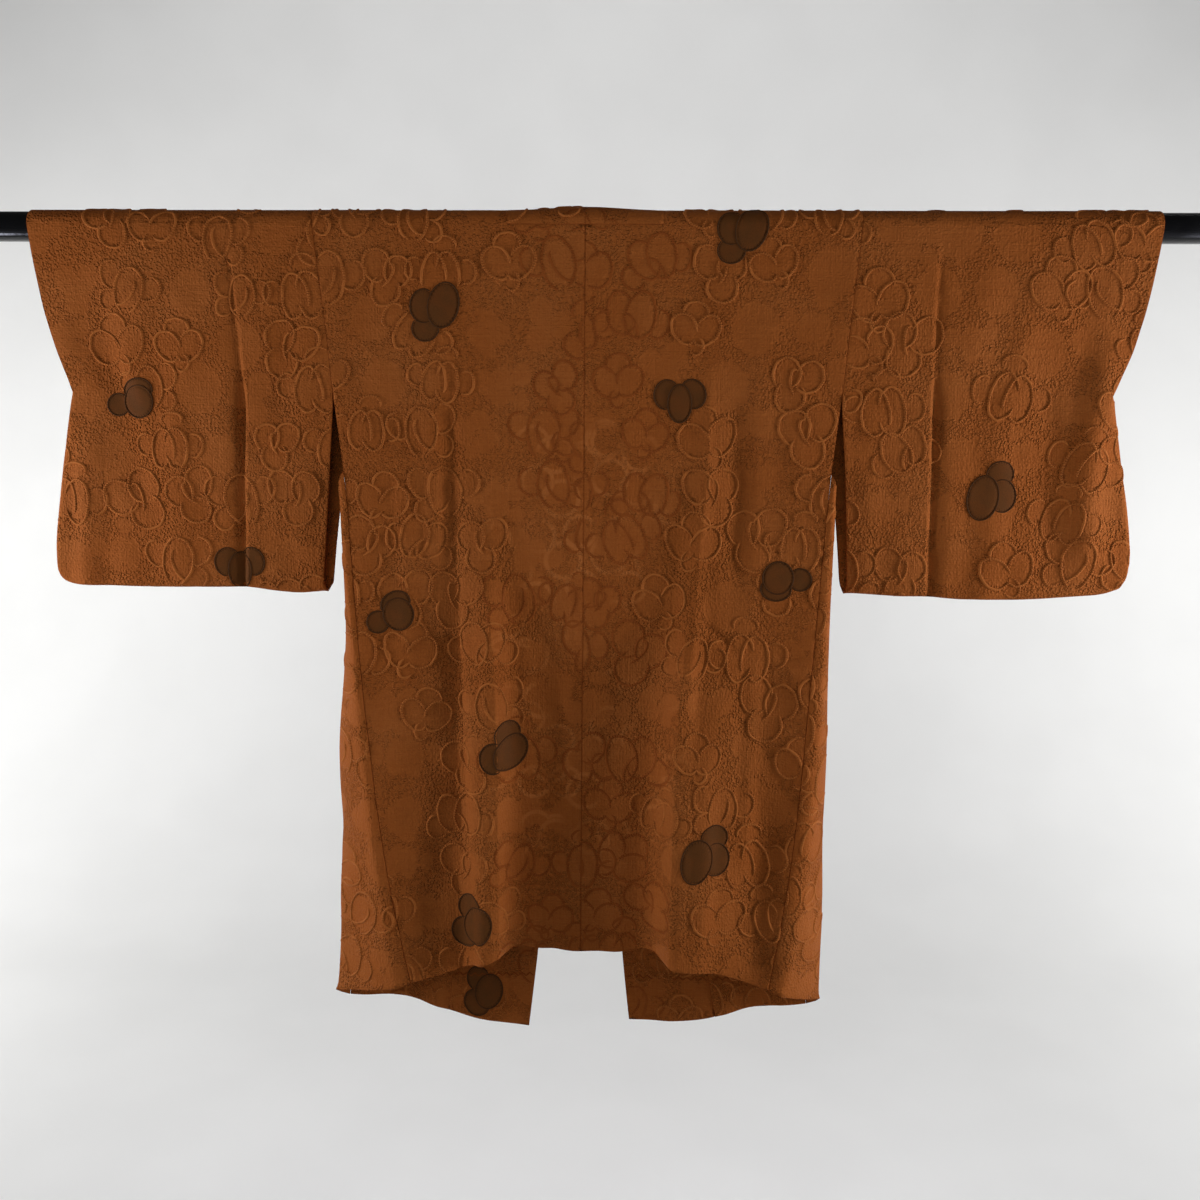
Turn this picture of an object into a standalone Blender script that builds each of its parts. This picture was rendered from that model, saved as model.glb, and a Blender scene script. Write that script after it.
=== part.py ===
"""Kimono coat of the haori kind, hung by its sleeves on a round rod.

Metres, +Z up. The origin is on the rod's axis at mid-length. +X runs along the rod to the
wearer's right, and the coat's back faces -Y. Each cut piece of cloth is a thin wall: a sheet
of points worked out from the tables below, given its thickness by Solidify.
"""
import math
from collections import namedtuple

import bpy
import bmesh

# Rod and cloth
ROD_RADIUS = 0.0172
ROD_LENGTH = 1.440
ROD_SIDES = 40
CLOTH = 0.0016
SEAM = 0.0003
TURNED_SEAM = 0.0008

# Cloth over the rod: its sheet follows a half circle, in steps that clear the rod
ARC_STEPS = 8
DRAPE_RADIUS = (ROD_RADIUS + SEAM) / math.cos(math.pi / (2 * ARC_STEPS)) + CLOTH / 2

# Lengths down from the rod's axis along each side edge, where the sewing starts and ends
BACK_ARMHOLE = 0.197
BACK_GUSSET_TOP = 0.283
BACK_SIDE_HEM = 0.897
FRONT_ARMHOLE = 0.262
FRONT_GUSSET_TOP = 0.322
FRONT_SIDE_HEM = 0.950

# Steps of the sheets between those lengths
BACK_STEPS = (4, 2, 14)
FRONT_STEPS = (5, 1, 14)
NECK_COLUMNS = 6
BACK_SHOULDER_COLUMNS = 14
SLEEVE_COLUMNS = 11
SLEEVE_FREE_STEPS = (5, 4)
BAND_COLUMNS = 4

# Neck and collar
NECK_HALF = 0.090
COLLAR_RISE = 0.0045
COLLAR_SPLIT_ROW = 2

# Depth of the hanging cloth, front to back
BACK_SAG_CENTRE = 0.011
BACK_SAG_SIDE = 0.037
FRONT_SAG_CENTRE = 0.015
FRONT_SAG_SIDE = 0.006
GUSSET_FOLD_RISE = 0.003
GUSSET_BULGE = 0.004
GUSSET_TURN = 0.015
GUSSET_CORNER = 0.003
GUSSET_CORNER_IN = 0.004
SLEEVE_DROP = 0.430
SLEEVE_CORNER_OUT = 0.312
SLEEVE_HALF_GAP = 0.009
CUFF_HALF_GAP = 0.0055
WRIST_END = 0.187
WRIST_ROWS_FROM = 0.157
CUFF_NOSE = 0.004

LEFT, RIGHT = "left", "right"
SIDES = ((LEFT, -1.0), (RIGHT, 1.0))

# Half widths from the centre line, at lengths down from the rod's axis
Edge = namedtuple("Edge", "down left right")

BACK_SIDE = (
    Edge(0.000, 0.316, 0.316),
    Edge(0.095, 0.304, 0.307),
    Edge(0.197, 0.294, 0.298),
    Edge(0.283, 0.283, 0.288),
    Edge(0.450, 0.269, 0.275),
    Edge(0.550, 0.260, 0.267),
    Edge(0.640, 0.249, 0.260),
    Edge(0.740, 0.235, 0.250),
    Edge(0.830, 0.218, 0.237),
    Edge(0.910, 0.201, 0.224),
)
FRONT_SIDE = (
    Edge(0.000, 0.316, 0.316),
    Edge(0.095, 0.304, 0.307),
    Edge(0.197, 0.294, 0.298),
    Edge(0.262, 0.288, 0.292),
    Edge(0.322, 0.276, 0.281),
    Edge(0.450, 0.271, 0.277),
    Edge(0.550, 0.280, 0.279),
    Edge(0.650, 0.287, 0.281),
    Edge(0.810, 0.289, 0.283),
    Edge(0.950, 0.297, 0.283),
)
GUSSET_FOLD = (
    Edge(0.283, 0.287, 0.292),
    Edge(0.430, 0.279, 0.288),
    Edge(0.510, 0.270, 0.284),
    Edge(0.630, 0.260, 0.276),
    Edge(0.740, 0.246, 0.266),
    Edge(0.860, 0.227, 0.250),
    Edge(0.920, 0.217, 0.238),
)
GUSSET_EDGE = (
    Edge(0.300, 0.291, 0.295),
    Edge(0.355, 0.290, 0.295),
    Edge(0.452, 0.287, 0.293),
    Edge(0.550, 0.296, 0.295),
    Edge(0.602, 0.302, 0.297),
    Edge(0.653, 0.303, 0.297),
    Edge(0.730, 0.300, 0.296),
    Edge(0.808, 0.305, 0.299),
    Edge(0.860, 0.305, 0.298),
    Edge(0.946, 0.312, 0.298),
)
COLLAR_SEAM = (
    Edge(0.000, 0.090, 0.090),
    Edge(0.200, 0.104, 0.104),
    Edge(0.500, 0.129, 0.127),
    Edge(0.900, 0.165, 0.157),
    Edge(0.980, 0.172, 0.171),
)
COLLAR_EDGE = (
    Edge(0.110, 0.000, 0.000),
    Edge(0.200, 0.005, 0.004),
    Edge(0.500, 0.023, 0.021),
    Edge(0.885, 0.057, 0.050),
    Edge(0.990, 0.069, 0.061),
)
# How far each sleeve layer's free inner edge stands out from the end of the armhole
BACK_SPREAD = (
    Edge(0.197, 0.000, 0.000),
    Edge(0.258, 0.005, 0.005),
    Edge(0.306, 0.009, 0.009),
    Edge(0.353, 0.013, 0.011),
    Edge(0.425, 0.019, 0.015),
)
FRONT_SPREAD = (
    Edge(0.262, 0.000, 0.000),
    Edge(0.330, 0.009, 0.008),
    Edge(0.425, 0.018, 0.015),
)
CUFF = (
    Edge(0.000, 0.650, 0.655),
    Edge(0.073, 0.641, 0.646),
    Edge(0.118, 0.634, 0.638),
    Edge(0.144, 0.626, 0.631),
    Edge(0.165, 0.616, 0.620),
    Edge(0.187, 0.609, 0.610),
    Edge(0.237, 0.617, 0.620),
    Edge(0.285, 0.625, 0.628),
    Edge(0.356, 0.635, 0.640),
    Edge(0.425, 0.640, 0.643),
)

# Lengths down to a hem, at half widths from the centre line
Hem = namedtuple("Hem", "out left right")

BACK_HEM = (
    Hem(0.000, 0.863, 0.863),
    Hem(0.050, 0.859, 0.861),
    Hem(0.080, 0.856, 0.855),
    Hem(0.112, 0.868, 0.864),
    Hem(0.150, 0.884, 0.870),
    Hem(0.203, 0.897, 0.890),
    Hem(0.225, 0.901, 0.897),
)
FRONT_HEM = (
    Hem(0.060, 0.993, 0.983),
    Hem(0.130, 0.982, 0.982),
    Hem(0.172, 0.971, 0.975),
    Hem(0.243, 0.954, 0.961),
    Hem(0.297, 0.950, 0.950),
)
SLEEVE_HEM = (
    Hem(0.312, 0.427, 0.423),
    Hem(0.330, 0.431, 0.424),
    Hem(0.415, 0.425, 0.429),
    Hem(0.505, 0.424, 0.429),
    Hem(0.600, 0.423, 0.423),
    Hem(0.630, 0.421, 0.419),
    Hem(0.641, 0.409, 0.404),
)

# Folds of the hanging cloth, from a length down to another. Their ridge stands outwards, a
# minus depth is a trough, and inner and outer are the widths of their two slopes. A fold
# that ends at FOLD_HEM grows all the way to the hem, and any other fades at both ends
FOLD_HEM = 0.900
Fold = namedtuple("Fold", "top end ridge_top ridge_end inner outer depth")

BACK_FOLDS = {
    LEFT: (
        Fold(0.22, FOLD_HEM, 0.124, 0.112, 0.034, 0.034, 0.036),
        Fold(0.20, 0.46, 0.160, 0.166, 0.026, 0.030, -0.005),
        Fold(0.60, FOLD_HEM, 0.052, 0.048, 0.020, 0.022, 0.004),
    ),
    RIGHT: (
        Fold(0.25, FOLD_HEM, 0.140, 0.117, 0.034, 0.095, 0.046),
        Fold(0.20, 0.44, 0.184, 0.176, 0.028, 0.030, -0.005),
        Fold(0.60, FOLD_HEM, 0.046, 0.044, 0.024, 0.020, 0.004),
    ),
}
FRONT_FOLDS = {
    LEFT: (
        Fold(0.30, FOLD_HEM, 0.225, 0.232, 0.045, 0.045, 0.009),
        Fold(0.40, FOLD_HEM, 0.120, 0.125, 0.040, 0.040, -0.005),
    ),
    RIGHT: (
        Fold(0.30, FOLD_HEM, 0.230, 0.226, 0.045, 0.045, 0.010),
        Fold(0.40, FOLD_HEM, 0.120, 0.128, 0.040, 0.040, -0.005),
    ),
}
SLEEVE_FOLDS = {
    LEFT: (
        Fold(0.02, FOLD_HEM, 0.405, 0.412, 0.030, 0.030, -0.006),
        Fold(0.10, FOLD_HEM, 0.520, 0.530, 0.050, 0.050, 0.003),
    ),
    RIGHT: (
        Fold(0.02, FOLD_HEM, 0.406, 0.411, 0.030, 0.030, -0.006),
        Fold(0.10, FOLD_HEM, 0.525, 0.520, 0.050, 0.050, 0.003),
    ),
}


def smooth(value):
    """0 below 0, 1 above 1, with a soft turn at both ends."""
    value = min(max(value, 0.0), 1.0)
    return value * value * (3.0 - 2.0 * value)


def mix(a, b, share):
    return a + (b - a) * share


def read(table, side, at):
    """The table's value for a side, on a soft curve through its rows."""
    keys = [row[0] for row in table]
    values = [getattr(row, side) for row in table]
    at = min(max(at, keys[0]), keys[-1])
    span = max(i for i, key in enumerate(keys[:-1]) if key <= at)
    width = keys[span + 1] - keys[span]
    share = (at - keys[span]) / width

    def slope(i):
        low, high = max(i - 1, 0), min(i + 1, len(keys) - 1)
        return (values[high] - values[low]) / (keys[high] - keys[low])

    rise = values[span + 1] - values[span]
    start, end = slope(span) * width, slope(span + 1) * width
    curve = (start + end - 2 * rise) * share ** 3 + (3 * rise - 2 * start - end) * share ** 2
    return values[span] + start * share + curve


def stations(marks, steps):
    """Lengths from 0 through the marks, with the given steps in each stretch."""
    lengths = [0.0]
    for mark, count in zip(marks, steps):
        start = lengths[-1]
        lengths += [start + (mark - start) * (i + 1) / count for i in range(count)]
    return lengths


def fold_depth(folds, out, down):
    """How far the folds push the cloth outwards at a place."""
    total = 0.0
    for fold in folds:
        along = min(max((down - fold.top) / (fold.end - fold.top), 0.0), 1.0)
        ridge = mix(fold.ridge_top, fold.ridge_end, along)
        width = fold.inner if out < ridge else fold.outer
        across = 1.0 - abs(out - ridge) / width
        strength = smooth(along) if fold.end == FOLD_HEM else math.sin(math.pi * along)
        total += fold.depth * strength * smooth(across)
    return total


def sag(down, start, end):
    return smooth((down - start) / (end - start))


def back_depth(side, out, down):
    """Y of the back layer."""
    share = out / read(BACK_SIDE, side, down)
    spread = mix(BACK_SAG_CENTRE, BACK_SAG_SIDE, share ** 2)
    base = DRAPE_RADIUS + spread * sag(down, BACK_ARMHOLE, BACK_SIDE_HEM)
    return -base - fold_depth(BACK_FOLDS[side], out, down)


def front_depth(side, out, down):
    """Y of the front layer, of the collar too."""
    share = out / read(FRONT_SIDE, side, down)
    spread = mix(FRONT_SAG_CENTRE, FRONT_SAG_SIDE, share ** 2)
    base = DRAPE_RADIUS + spread * sag(down, FRONT_ARMHOLE, FRONT_SIDE_HEM)
    return base + fold_depth(FRONT_FOLDS[side], out, down)


def arc_point(out, angle, rise=0.0):
    """A point of the cloth over the rod, at an angle from +Y up to -Y."""
    radius = DRAPE_RADIUS + rise * math.sin(angle)
    return (out, radius * math.cos(angle), radius * math.sin(angle))


def arc_angles():
    """From the back's tangent to the front's, without the two ends."""
    return [math.pi * (1.0 - i / ARC_STEPS) for i in range(1, ARC_STEPS)]


BACK_LENGTHS = stations((BACK_ARMHOLE, BACK_GUSSET_TOP, BACK_SIDE_HEM), BACK_STEPS)
FRONT_LENGTHS = stations((FRONT_ARMHOLE, FRONT_GUSSET_TOP, FRONT_SIDE_HEM), FRONT_STEPS)
BACK_SHARES = [length / BACK_SIDE_HEM for length in BACK_LENGTHS]
FRONT_SHARES = [length / FRONT_SIDE_HEM for length in FRONT_LENGTHS]


def back_point(side, column, share):
    """A place on a back panel: column 0 at the centre seam, 1 at the side edge."""
    hem_out = mix(SEAM / 2, read(BACK_SIDE, side, BACK_SIDE_HEM), column)
    side_hem = read(BACK_HEM, side, read(BACK_SIDE, side, BACK_SIDE_HEM))
    down = share * read(BACK_HEM, side, hem_out) * BACK_SIDE_HEM / side_hem
    out = mix(SEAM / 2, read(BACK_SIDE, side, down), column)
    return (out, back_depth(side, out, down), -down)


def front_place(side, out_hem, share):
    """Length down on the front at a share of the way to the hem."""
    side_hem = read(FRONT_HEM, side, read(FRONT_SIDE, side, FRONT_SIDE_HEM))
    return share * read(FRONT_HEM, side, out_hem) * FRONT_SIDE_HEM / side_hem


def front_point(side, column, share):
    """A place on a front panel: column 0 at the collar's seam, 1 at the side edge."""
    seam_hem = read(COLLAR_SEAM, side, 1.0)
    down = front_place(side, mix(seam_hem, read(FRONT_SIDE, side, FRONT_SIDE_HEM), column), share)
    out = mix(read(COLLAR_SEAM, side, down) + SEAM, read(FRONT_SIDE, side, down), column)
    return (out, front_depth(side, out, down), -down)


def band_point(side, column, share):
    """A place on the collar band: column 0 at its free edge, 1 at the seam."""
    seam_hem, edge_hem = read(COLLAR_SEAM, side, 1.0), read(COLLAR_EDGE, side, 1.0)
    down = front_place(side, mix(edge_hem, seam_hem, column), share)
    out = mix(read(COLLAR_EDGE, side, down), read(COLLAR_SEAM, side, down), column)
    return (out, front_depth(side, out, down), -down)


class Sheet:
    """Points and faces of one piece of cloth, before it gets its thickness."""

    def __init__(self, sign=1.0):
        self.mesh = bmesh.new()
        self.sign = sign

    def row(self, points):
        return [self.mesh.verts.new((self.sign * x, y, z)) for x, y, z in points]

    def strip(self, first, second):
        """Faces between two rows of the same length."""
        for i in range(len(first) - 1):
            self.mesh.faces.new((first[i], first[i + 1], second[i + 1], second[i]))

    def strips(self, rows):
        for first, second in zip(rows, rows[1:]):
            self.strip(first, second)

    def finish(self, name, material):
        """The sheet as an object, with its thickness on both sides of its points."""
        bmesh.ops.recalc_face_normals(self.mesh, faces=self.mesh.faces)
        data = bpy.data.meshes.new(name)
        self.mesh.to_mesh(data)
        self.mesh.free()
        data.materials.append(material)
        data.shade_smooth()
        piece = bpy.data.objects.new(name, data)
        bpy.context.scene.collection.objects.link(piece)
        wall = piece.modifiers.new("Thickness", "SOLIDIFY")
        wall.thickness = CLOTH
        wall.offset = 0.0
        wall.use_even_offset = True
        wall.use_quality_normals = True
        return piece


def make_body(side, sign, material):
    """One width of cloth, from the back hem over the shoulder to the front hem."""
    sheet = Sheet(sign)
    neck = NECK_HALF / read(BACK_SIDE, side, 0.0)
    inner = [neck * i / NECK_COLUMNS for i in range(NECK_COLUMNS)]
    outer = [i / BACK_SHOULDER_COLUMNS for i in range(BACK_SHOULDER_COLUMNS + 1)]
    columns = inner + [mix(neck, 1.0, share) for share in outer]
    back = [sheet.row(back_point(side, c, share) for c in columns) for share in reversed(BACK_SHARES)]
    sheet.strips(back)

    shoulder_outs = [v.co.x * sign for v in back[-1][NECK_COLUMNS:]]
    shoulder_outs[0] = NECK_HALF + SEAM
    back[-1][NECK_COLUMNS].co.x = sign * shoulder_outs[0]
    over = [sheet.row(arc_point(out, angle) for out in shoulder_outs) for angle in arc_angles()]
    front = [sheet.row(front_point(side, share, length) for share in outer) for length in FRONT_SHARES]
    for vertex, out in zip(front[0], shoulder_outs):
        vertex.co.x = sign * out
    sheet.strips([back[-1][NECK_COLUMNS:]] + over + front)
    return sheet.finish("body_" + side, material)


def sleeve_gap(column, down, seam_end):
    """Half the distance between a sleeve's layers."""
    inner = mix(DRAPE_RADIUS, SLEEVE_HALF_GAP, sag(down, seam_end, SLEEVE_DROP))
    outer = mix(DRAPE_RADIUS, CUFF_HALF_GAP, smooth(down / WRIST_END))
    return mix(inner, outer, smooth((column - 0.1) / 0.9))


def sleeve_inner(side, face, down):
    """A sleeve layer's inner edge: along the armhole, then free."""
    if face < 0:
        seam = read(BACK_SIDE, side, min(down, BACK_ARMHOLE))
        return seam + SEAM + read(BACK_SPREAD, side, down)
    return read(FRONT_SIDE, side, min(down, FRONT_ARMHOLE)) + SEAM + read(FRONT_SPREAD, side, down)


def sleeve_point(side, face, column, share):
    """A place on a sleeve's layer: column 0 at the body, 1 at the cuff edge."""
    seam_end = BACK_ARMHOLE if face < 0 else FRONT_ARMHOLE
    end = read(SLEEVE_HEM, side, SLEEVE_CORNER_OUT) - SLEEVE_HALF_GAP
    hem_out = mix(sleeve_inner(side, face, end), read(CUFF, side, end), column)
    hem = read(SLEEVE_HEM, side, hem_out) - sleeve_gap(column, end, seam_end)
    down = share * (mix(end, hem, smooth(share * 1.6)) if column > 0 else end)
    out = mix(sleeve_inner(side, face, down), read(CUFF, side, down), column)
    gap = sleeve_gap(column, down, seam_end) + fold_depth(SLEEVE_FOLDS[side], out, down)
    return (out, face * gap, -down)


def make_sleeve(side, sign, material):
    """One length of cloth folded over the rod, sewn along the bottom and below the wrist."""
    sheet = Sheet(sign)
    columns = [i / (SLEEVE_COLUMNS - 1) for i in range(SLEEVE_COLUMNS - 1)]
    columns += [1.0 - 0.35 / SLEEVE_COLUMNS, 1.0]
    end = read(SLEEVE_HEM, side, SLEEVE_CORNER_OUT) - SLEEVE_HALF_GAP
    back_lengths = stations((BACK_ARMHOLE, end), (BACK_STEPS[0], SLEEVE_FREE_STEPS[0]))
    front_lengths = stations((FRONT_ARMHOLE, end), (FRONT_STEPS[0], SLEEVE_FREE_STEPS[1]))
    back = [sheet.row(sleeve_point(side, -1, c, s / end) for c in columns) for s in reversed(back_lengths)]
    tops = [v.co.x * sign for v in back[-1]]
    over = [sheet.row(arc_point(out, angle) for out in tops) for angle in arc_angles()]
    front = [sheet.row(sleeve_point(side, 1, c, s / end) for c in columns) for s in front_lengths]

    low_back, low_front = back[0], front[-1]
    under = []
    for turn in (0.25, 0.5, 0.75):
        points = []
        for a, b in zip(low_front, low_back):
            angle = math.pi * turn
            half = (a.co.y - b.co.y) / 2
            middle = (a.co + b.co) / 2
            drop = half * math.sin(angle)
            points.append((middle.x * sign, middle.y + half * math.cos(angle), middle.z - drop))
        under.append(sheet.row(points))
    sheet.strips(back + over + front + under + [back[0]])

    sewn_back = [row for row in back if -row[-1].co.z >= WRIST_ROWS_FROM]
    sewn_front = [row for row in reversed(front) if -row[-1].co.z >= WRIST_ROWS_FROM]
    count = min(len(sewn_back), len(sewn_front))
    edge_back = [row[-1] for row in sewn_back[:count]]
    edge_front = [row[-1] for row in sewn_front[:count]]
    noses = []
    for a, b in zip(edge_back[1:], edge_front[1:]):
        middle = (a.co + b.co) / 2
        noses += sheet.row([((middle.x + sign * CUFF_NOSE) * sign, middle.y, middle.z)])
    corner = [row[-1] for row in under]
    sheet.mesh.faces.new((edge_front[0], corner[0], corner[1], noses[0], edge_front[1]))
    sheet.mesh.faces.new((corner[1], corner[2], edge_back[0], edge_back[1], noses[0]))
    for i in range(len(noses) - 1):
        sheet.mesh.faces.new((edge_front[i + 1], noses[i], noses[i + 1], edge_front[i + 2]))
        sheet.mesh.faces.new((noses[i], edge_back[i + 1], edge_back[i + 2], noses[i + 1]))
    return sheet.finish("sleeve_" + side, material)


def gusset_row(side, back_down, front_down):
    """Section of a gusset, from its back seam round the side to its front seam."""
    back_out = read(BACK_SIDE, side, back_down)
    front_out = read(FRONT_SIDE, side, front_down)
    back_y = back_depth(side, back_out, back_down)
    front_y = front_depth(side, front_out, front_down)
    fold_down = mix(back_down, front_down, 0.15)
    edge_down = mix(back_down, front_down, 0.75)
    fold = (read(GUSSET_FOLD, side, fold_down), back_y - GUSSET_FOLD_RISE, -fold_down)
    edge = (read(GUSSET_EDGE, side, edge_down), front_y - GUSSET_TURN, -edge_down)
    turn_down = mix(back_down, front_down, 0.9)
    turn = (edge[0] - GUSSET_CORNER, front_y - GUSSET_CORNER_IN, -turn_down)
    middles = []
    for share in (0.33, 0.67):
        bulge = GUSSET_BULGE * math.sin(math.pi * share)
        out, y, z = (mix(a, b, share) for a, b in zip(fold, edge))
        middles.append((out + bulge * 0.6, y - bulge * 0.6, z))
    start = (back_out + TURNED_SEAM, back_y, -back_down)
    end = (front_out + TURNED_SEAM, front_y, -front_down)
    return [start, fold] + middles + [edge, turn, end]


def make_gusset(side, sign, material):
    """The strip let in at the side, from the underarm to the hem."""
    sheet = Sheet(sign)
    back_lengths = BACK_LENGTHS[-BACK_STEPS[2] - 1:]
    front_lengths = FRONT_LENGTHS[-FRONT_STEPS[2] - 1:]
    sheet.strips([sheet.row(gusset_row(side, b, f)) for b, f in zip(back_lengths, front_lengths)])
    return sheet.finish("gusset_" + side, material)


def make_collar(material):
    """The band: one strip round the neck, over the rod and down both front edges."""
    sheet = Sheet()
    columns = [i / BAND_COLUMNS for i in range(BAND_COLUMNS + 1)]

    def across(left_points, right_points):
        left = [(-x, y, z) for x, y, z in reversed(left_points)]
        return sheet.row(left + right_points[1:])

    rows = []
    neckline = math.pi - math.asin(2 * SEAM / DRAPE_RADIUS)
    for angle in [neckline] + arc_angles():
        points = []
        for share in columns:
            out = NECK_HALF * share
            points.append(arc_point(out, angle, COLLAR_RISE * smooth(1.0 - share)))
        rows.append(across(points, points))
    for share in FRONT_SHARES[:COLLAR_SPLIT_ROW + 1]:
        sides = [[band_point(side, column, share) for column in columns] for side, _ in SIDES]
        rows.append(across(*sides))
    sheet.strips(rows)

    for (side, sign), start in zip(SIDES, (rows[-1][:BAND_COLUMNS + 1], rows[-1][BAND_COLUMNS:])):
        leg = [start]
        for share in FRONT_SHARES[COLLAR_SPLIT_ROW + 1:]:
            points = [band_point(side, column, share) for column in columns]
            points = [(sign * x, y, z) for x, y, z in points]
            leg.append(sheet.row(points[::-1] if side == LEFT else points))
        sheet.strips(leg)
    return sheet.finish("collar_band", material)


def make_rod(material):
    """The rod that the coat hangs on, with flat ends."""
    bpy.ops.mesh.primitive_cylinder_add(
        vertices=ROD_SIDES, radius=ROD_RADIUS, depth=ROD_LENGTH,
        location=(0.0, 0.0, 0.0), rotation=(0.0, math.pi / 2, 0.0))
    rod = bpy.context.object
    rod.name = "rod"
    rod.data.materials.append(material)
    rod.data.shade_smooth()
    rod.data.set_sharp_from_angle(angle=math.radians(40))
    return rod


def make_material(name, colour, roughness):
    material = bpy.data.materials.new(name)
    material.use_nodes = True
    shader = material.node_tree.nodes["Principled BSDF"]
    shader.inputs["Base Color"].default_value = (*colour, 1.0)
    shader.inputs["Roughness"].default_value = roughness
    shader.inputs["Metallic"].default_value = 0.0
    return material


def clear_scene():
    for item in list(bpy.data.objects):
        bpy.data.objects.remove(item, do_unlink=True)


def main():
    clear_scene()
    silk = make_material("rust_silk", (0.23, 0.068, 0.020), 0.65)
    inside = make_material("collar_silk", (0.20, 0.060, 0.018), 0.65)
    black = make_material("black_paint", (0.004, 0.004, 0.005), 0.15)
    for side, sign in SIDES:
        make_body(side, sign, silk)
        make_sleeve(side, sign, silk)
        make_gusset(side, sign, silk)
    make_collar(inside)
    make_rod(black)


main()
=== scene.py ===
"""Kimono coat of crinkled rust silk, hung by its sleeves on a round black rod.

Metres, +Z up. The origin is on the rod's axis at mid-length, +X runs to the wearer's right, and
the coat's back faces -Y. Each cut piece of cloth is a thin shell on the form of its solid, with
its creases pressed in, and the woven petals are fine cords that stand on it.
"""
import math
import random
from collections import namedtuple
from contextlib import contextmanager

import bmesh
import bpy
import numpy as np
from mathutils import Matrix, Vector
from mathutils.bvhtree import BVHTree


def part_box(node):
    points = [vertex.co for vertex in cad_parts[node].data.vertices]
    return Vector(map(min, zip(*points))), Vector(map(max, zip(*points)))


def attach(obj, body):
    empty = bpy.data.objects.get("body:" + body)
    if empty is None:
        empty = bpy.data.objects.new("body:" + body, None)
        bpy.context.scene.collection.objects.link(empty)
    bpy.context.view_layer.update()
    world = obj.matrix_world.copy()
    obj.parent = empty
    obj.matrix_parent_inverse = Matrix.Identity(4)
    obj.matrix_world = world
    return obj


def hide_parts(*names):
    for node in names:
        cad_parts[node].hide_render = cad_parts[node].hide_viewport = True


bl_info = {
    "name": "Kimono Coat on a Rod",
    "version": (1, 0, 0),
    "blender": (4, 5, 0),
    "location": "3D View > Sidebar > Coat",
    "description": "A crinkled silk coat hung by its sleeves on a round rod",
    "category": "Object",
}

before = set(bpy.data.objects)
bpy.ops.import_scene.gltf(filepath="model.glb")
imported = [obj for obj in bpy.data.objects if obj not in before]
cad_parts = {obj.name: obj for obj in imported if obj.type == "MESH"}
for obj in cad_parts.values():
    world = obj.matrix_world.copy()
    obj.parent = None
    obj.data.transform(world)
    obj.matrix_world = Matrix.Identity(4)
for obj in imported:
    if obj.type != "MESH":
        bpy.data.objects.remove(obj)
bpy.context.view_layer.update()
# From the rod's axis to the cloth's outer face, and from the top line to where the cloth hangs
OVER_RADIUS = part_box("body_left")[1].z
HALF_TURN = OVER_RADIUS * math.pi / 2
SIDES = (("left", -1.0), ("right", 1.0))
MM = 0.001

# How far off the cloth a ray starts
REACH = 0.4
# No rim of a solid is wider, and no rounded edge
RIM_WIDTH = 0.0025
ROUNDED_WIDTH = 0.0016
# No edge of a shell is longer before it is smoothed
LONGEST_EDGE = 0.028
# From a pressed crease to the cuts beside it, and how near a face lies that they cut
BESIDE = 0.006
CUT_REACH = 0.008
# No design reaches further from its middle
DESIGN_REACH = 0.06
# The outlines lie flatter this close to the middle of the back, and are painted darker there as shade
FLAT_MIDDLE = 0.085
# The stitch line of the turned-up front hems: its height, and a stitch's length and swing
HEM_LINE = -0.922
STITCH = 0.0025
SWING = 0.0022
# The fronts' inside shows between these lengths, below the back's hem
INSIDE_LENGTHS = (-1.04, -0.90)
# Points round a blossom's lobe, and rings from its middle to its edge
SPOKES = 44
RINGS = 7
# How far a dark outline and a stitch line stand out, and how deep a cord's feet lie
LINE_HEIGHT = 0.0006
FOOT_DEPTH = -0.0003
# A share of a crease's length over which it fades, and how sharp a pressed one is
CREASE_FADE = 0.25
CREASE_PRESS = 1.6
# No cord comes nearer to a dark blossom, in millimetres
BLOSSOM_MARGIN = 1.5

# Creases and soft folds. Points are (x, length down), left and right are the widths of the two
# sides, and a minus depth is a trough. Both ends fade out, unless the crease runs on to the hem.
# A pressed crease is sharp along its middle
Crease = namedtuple("Crease", "points left right depth to_hem pressed")

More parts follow.
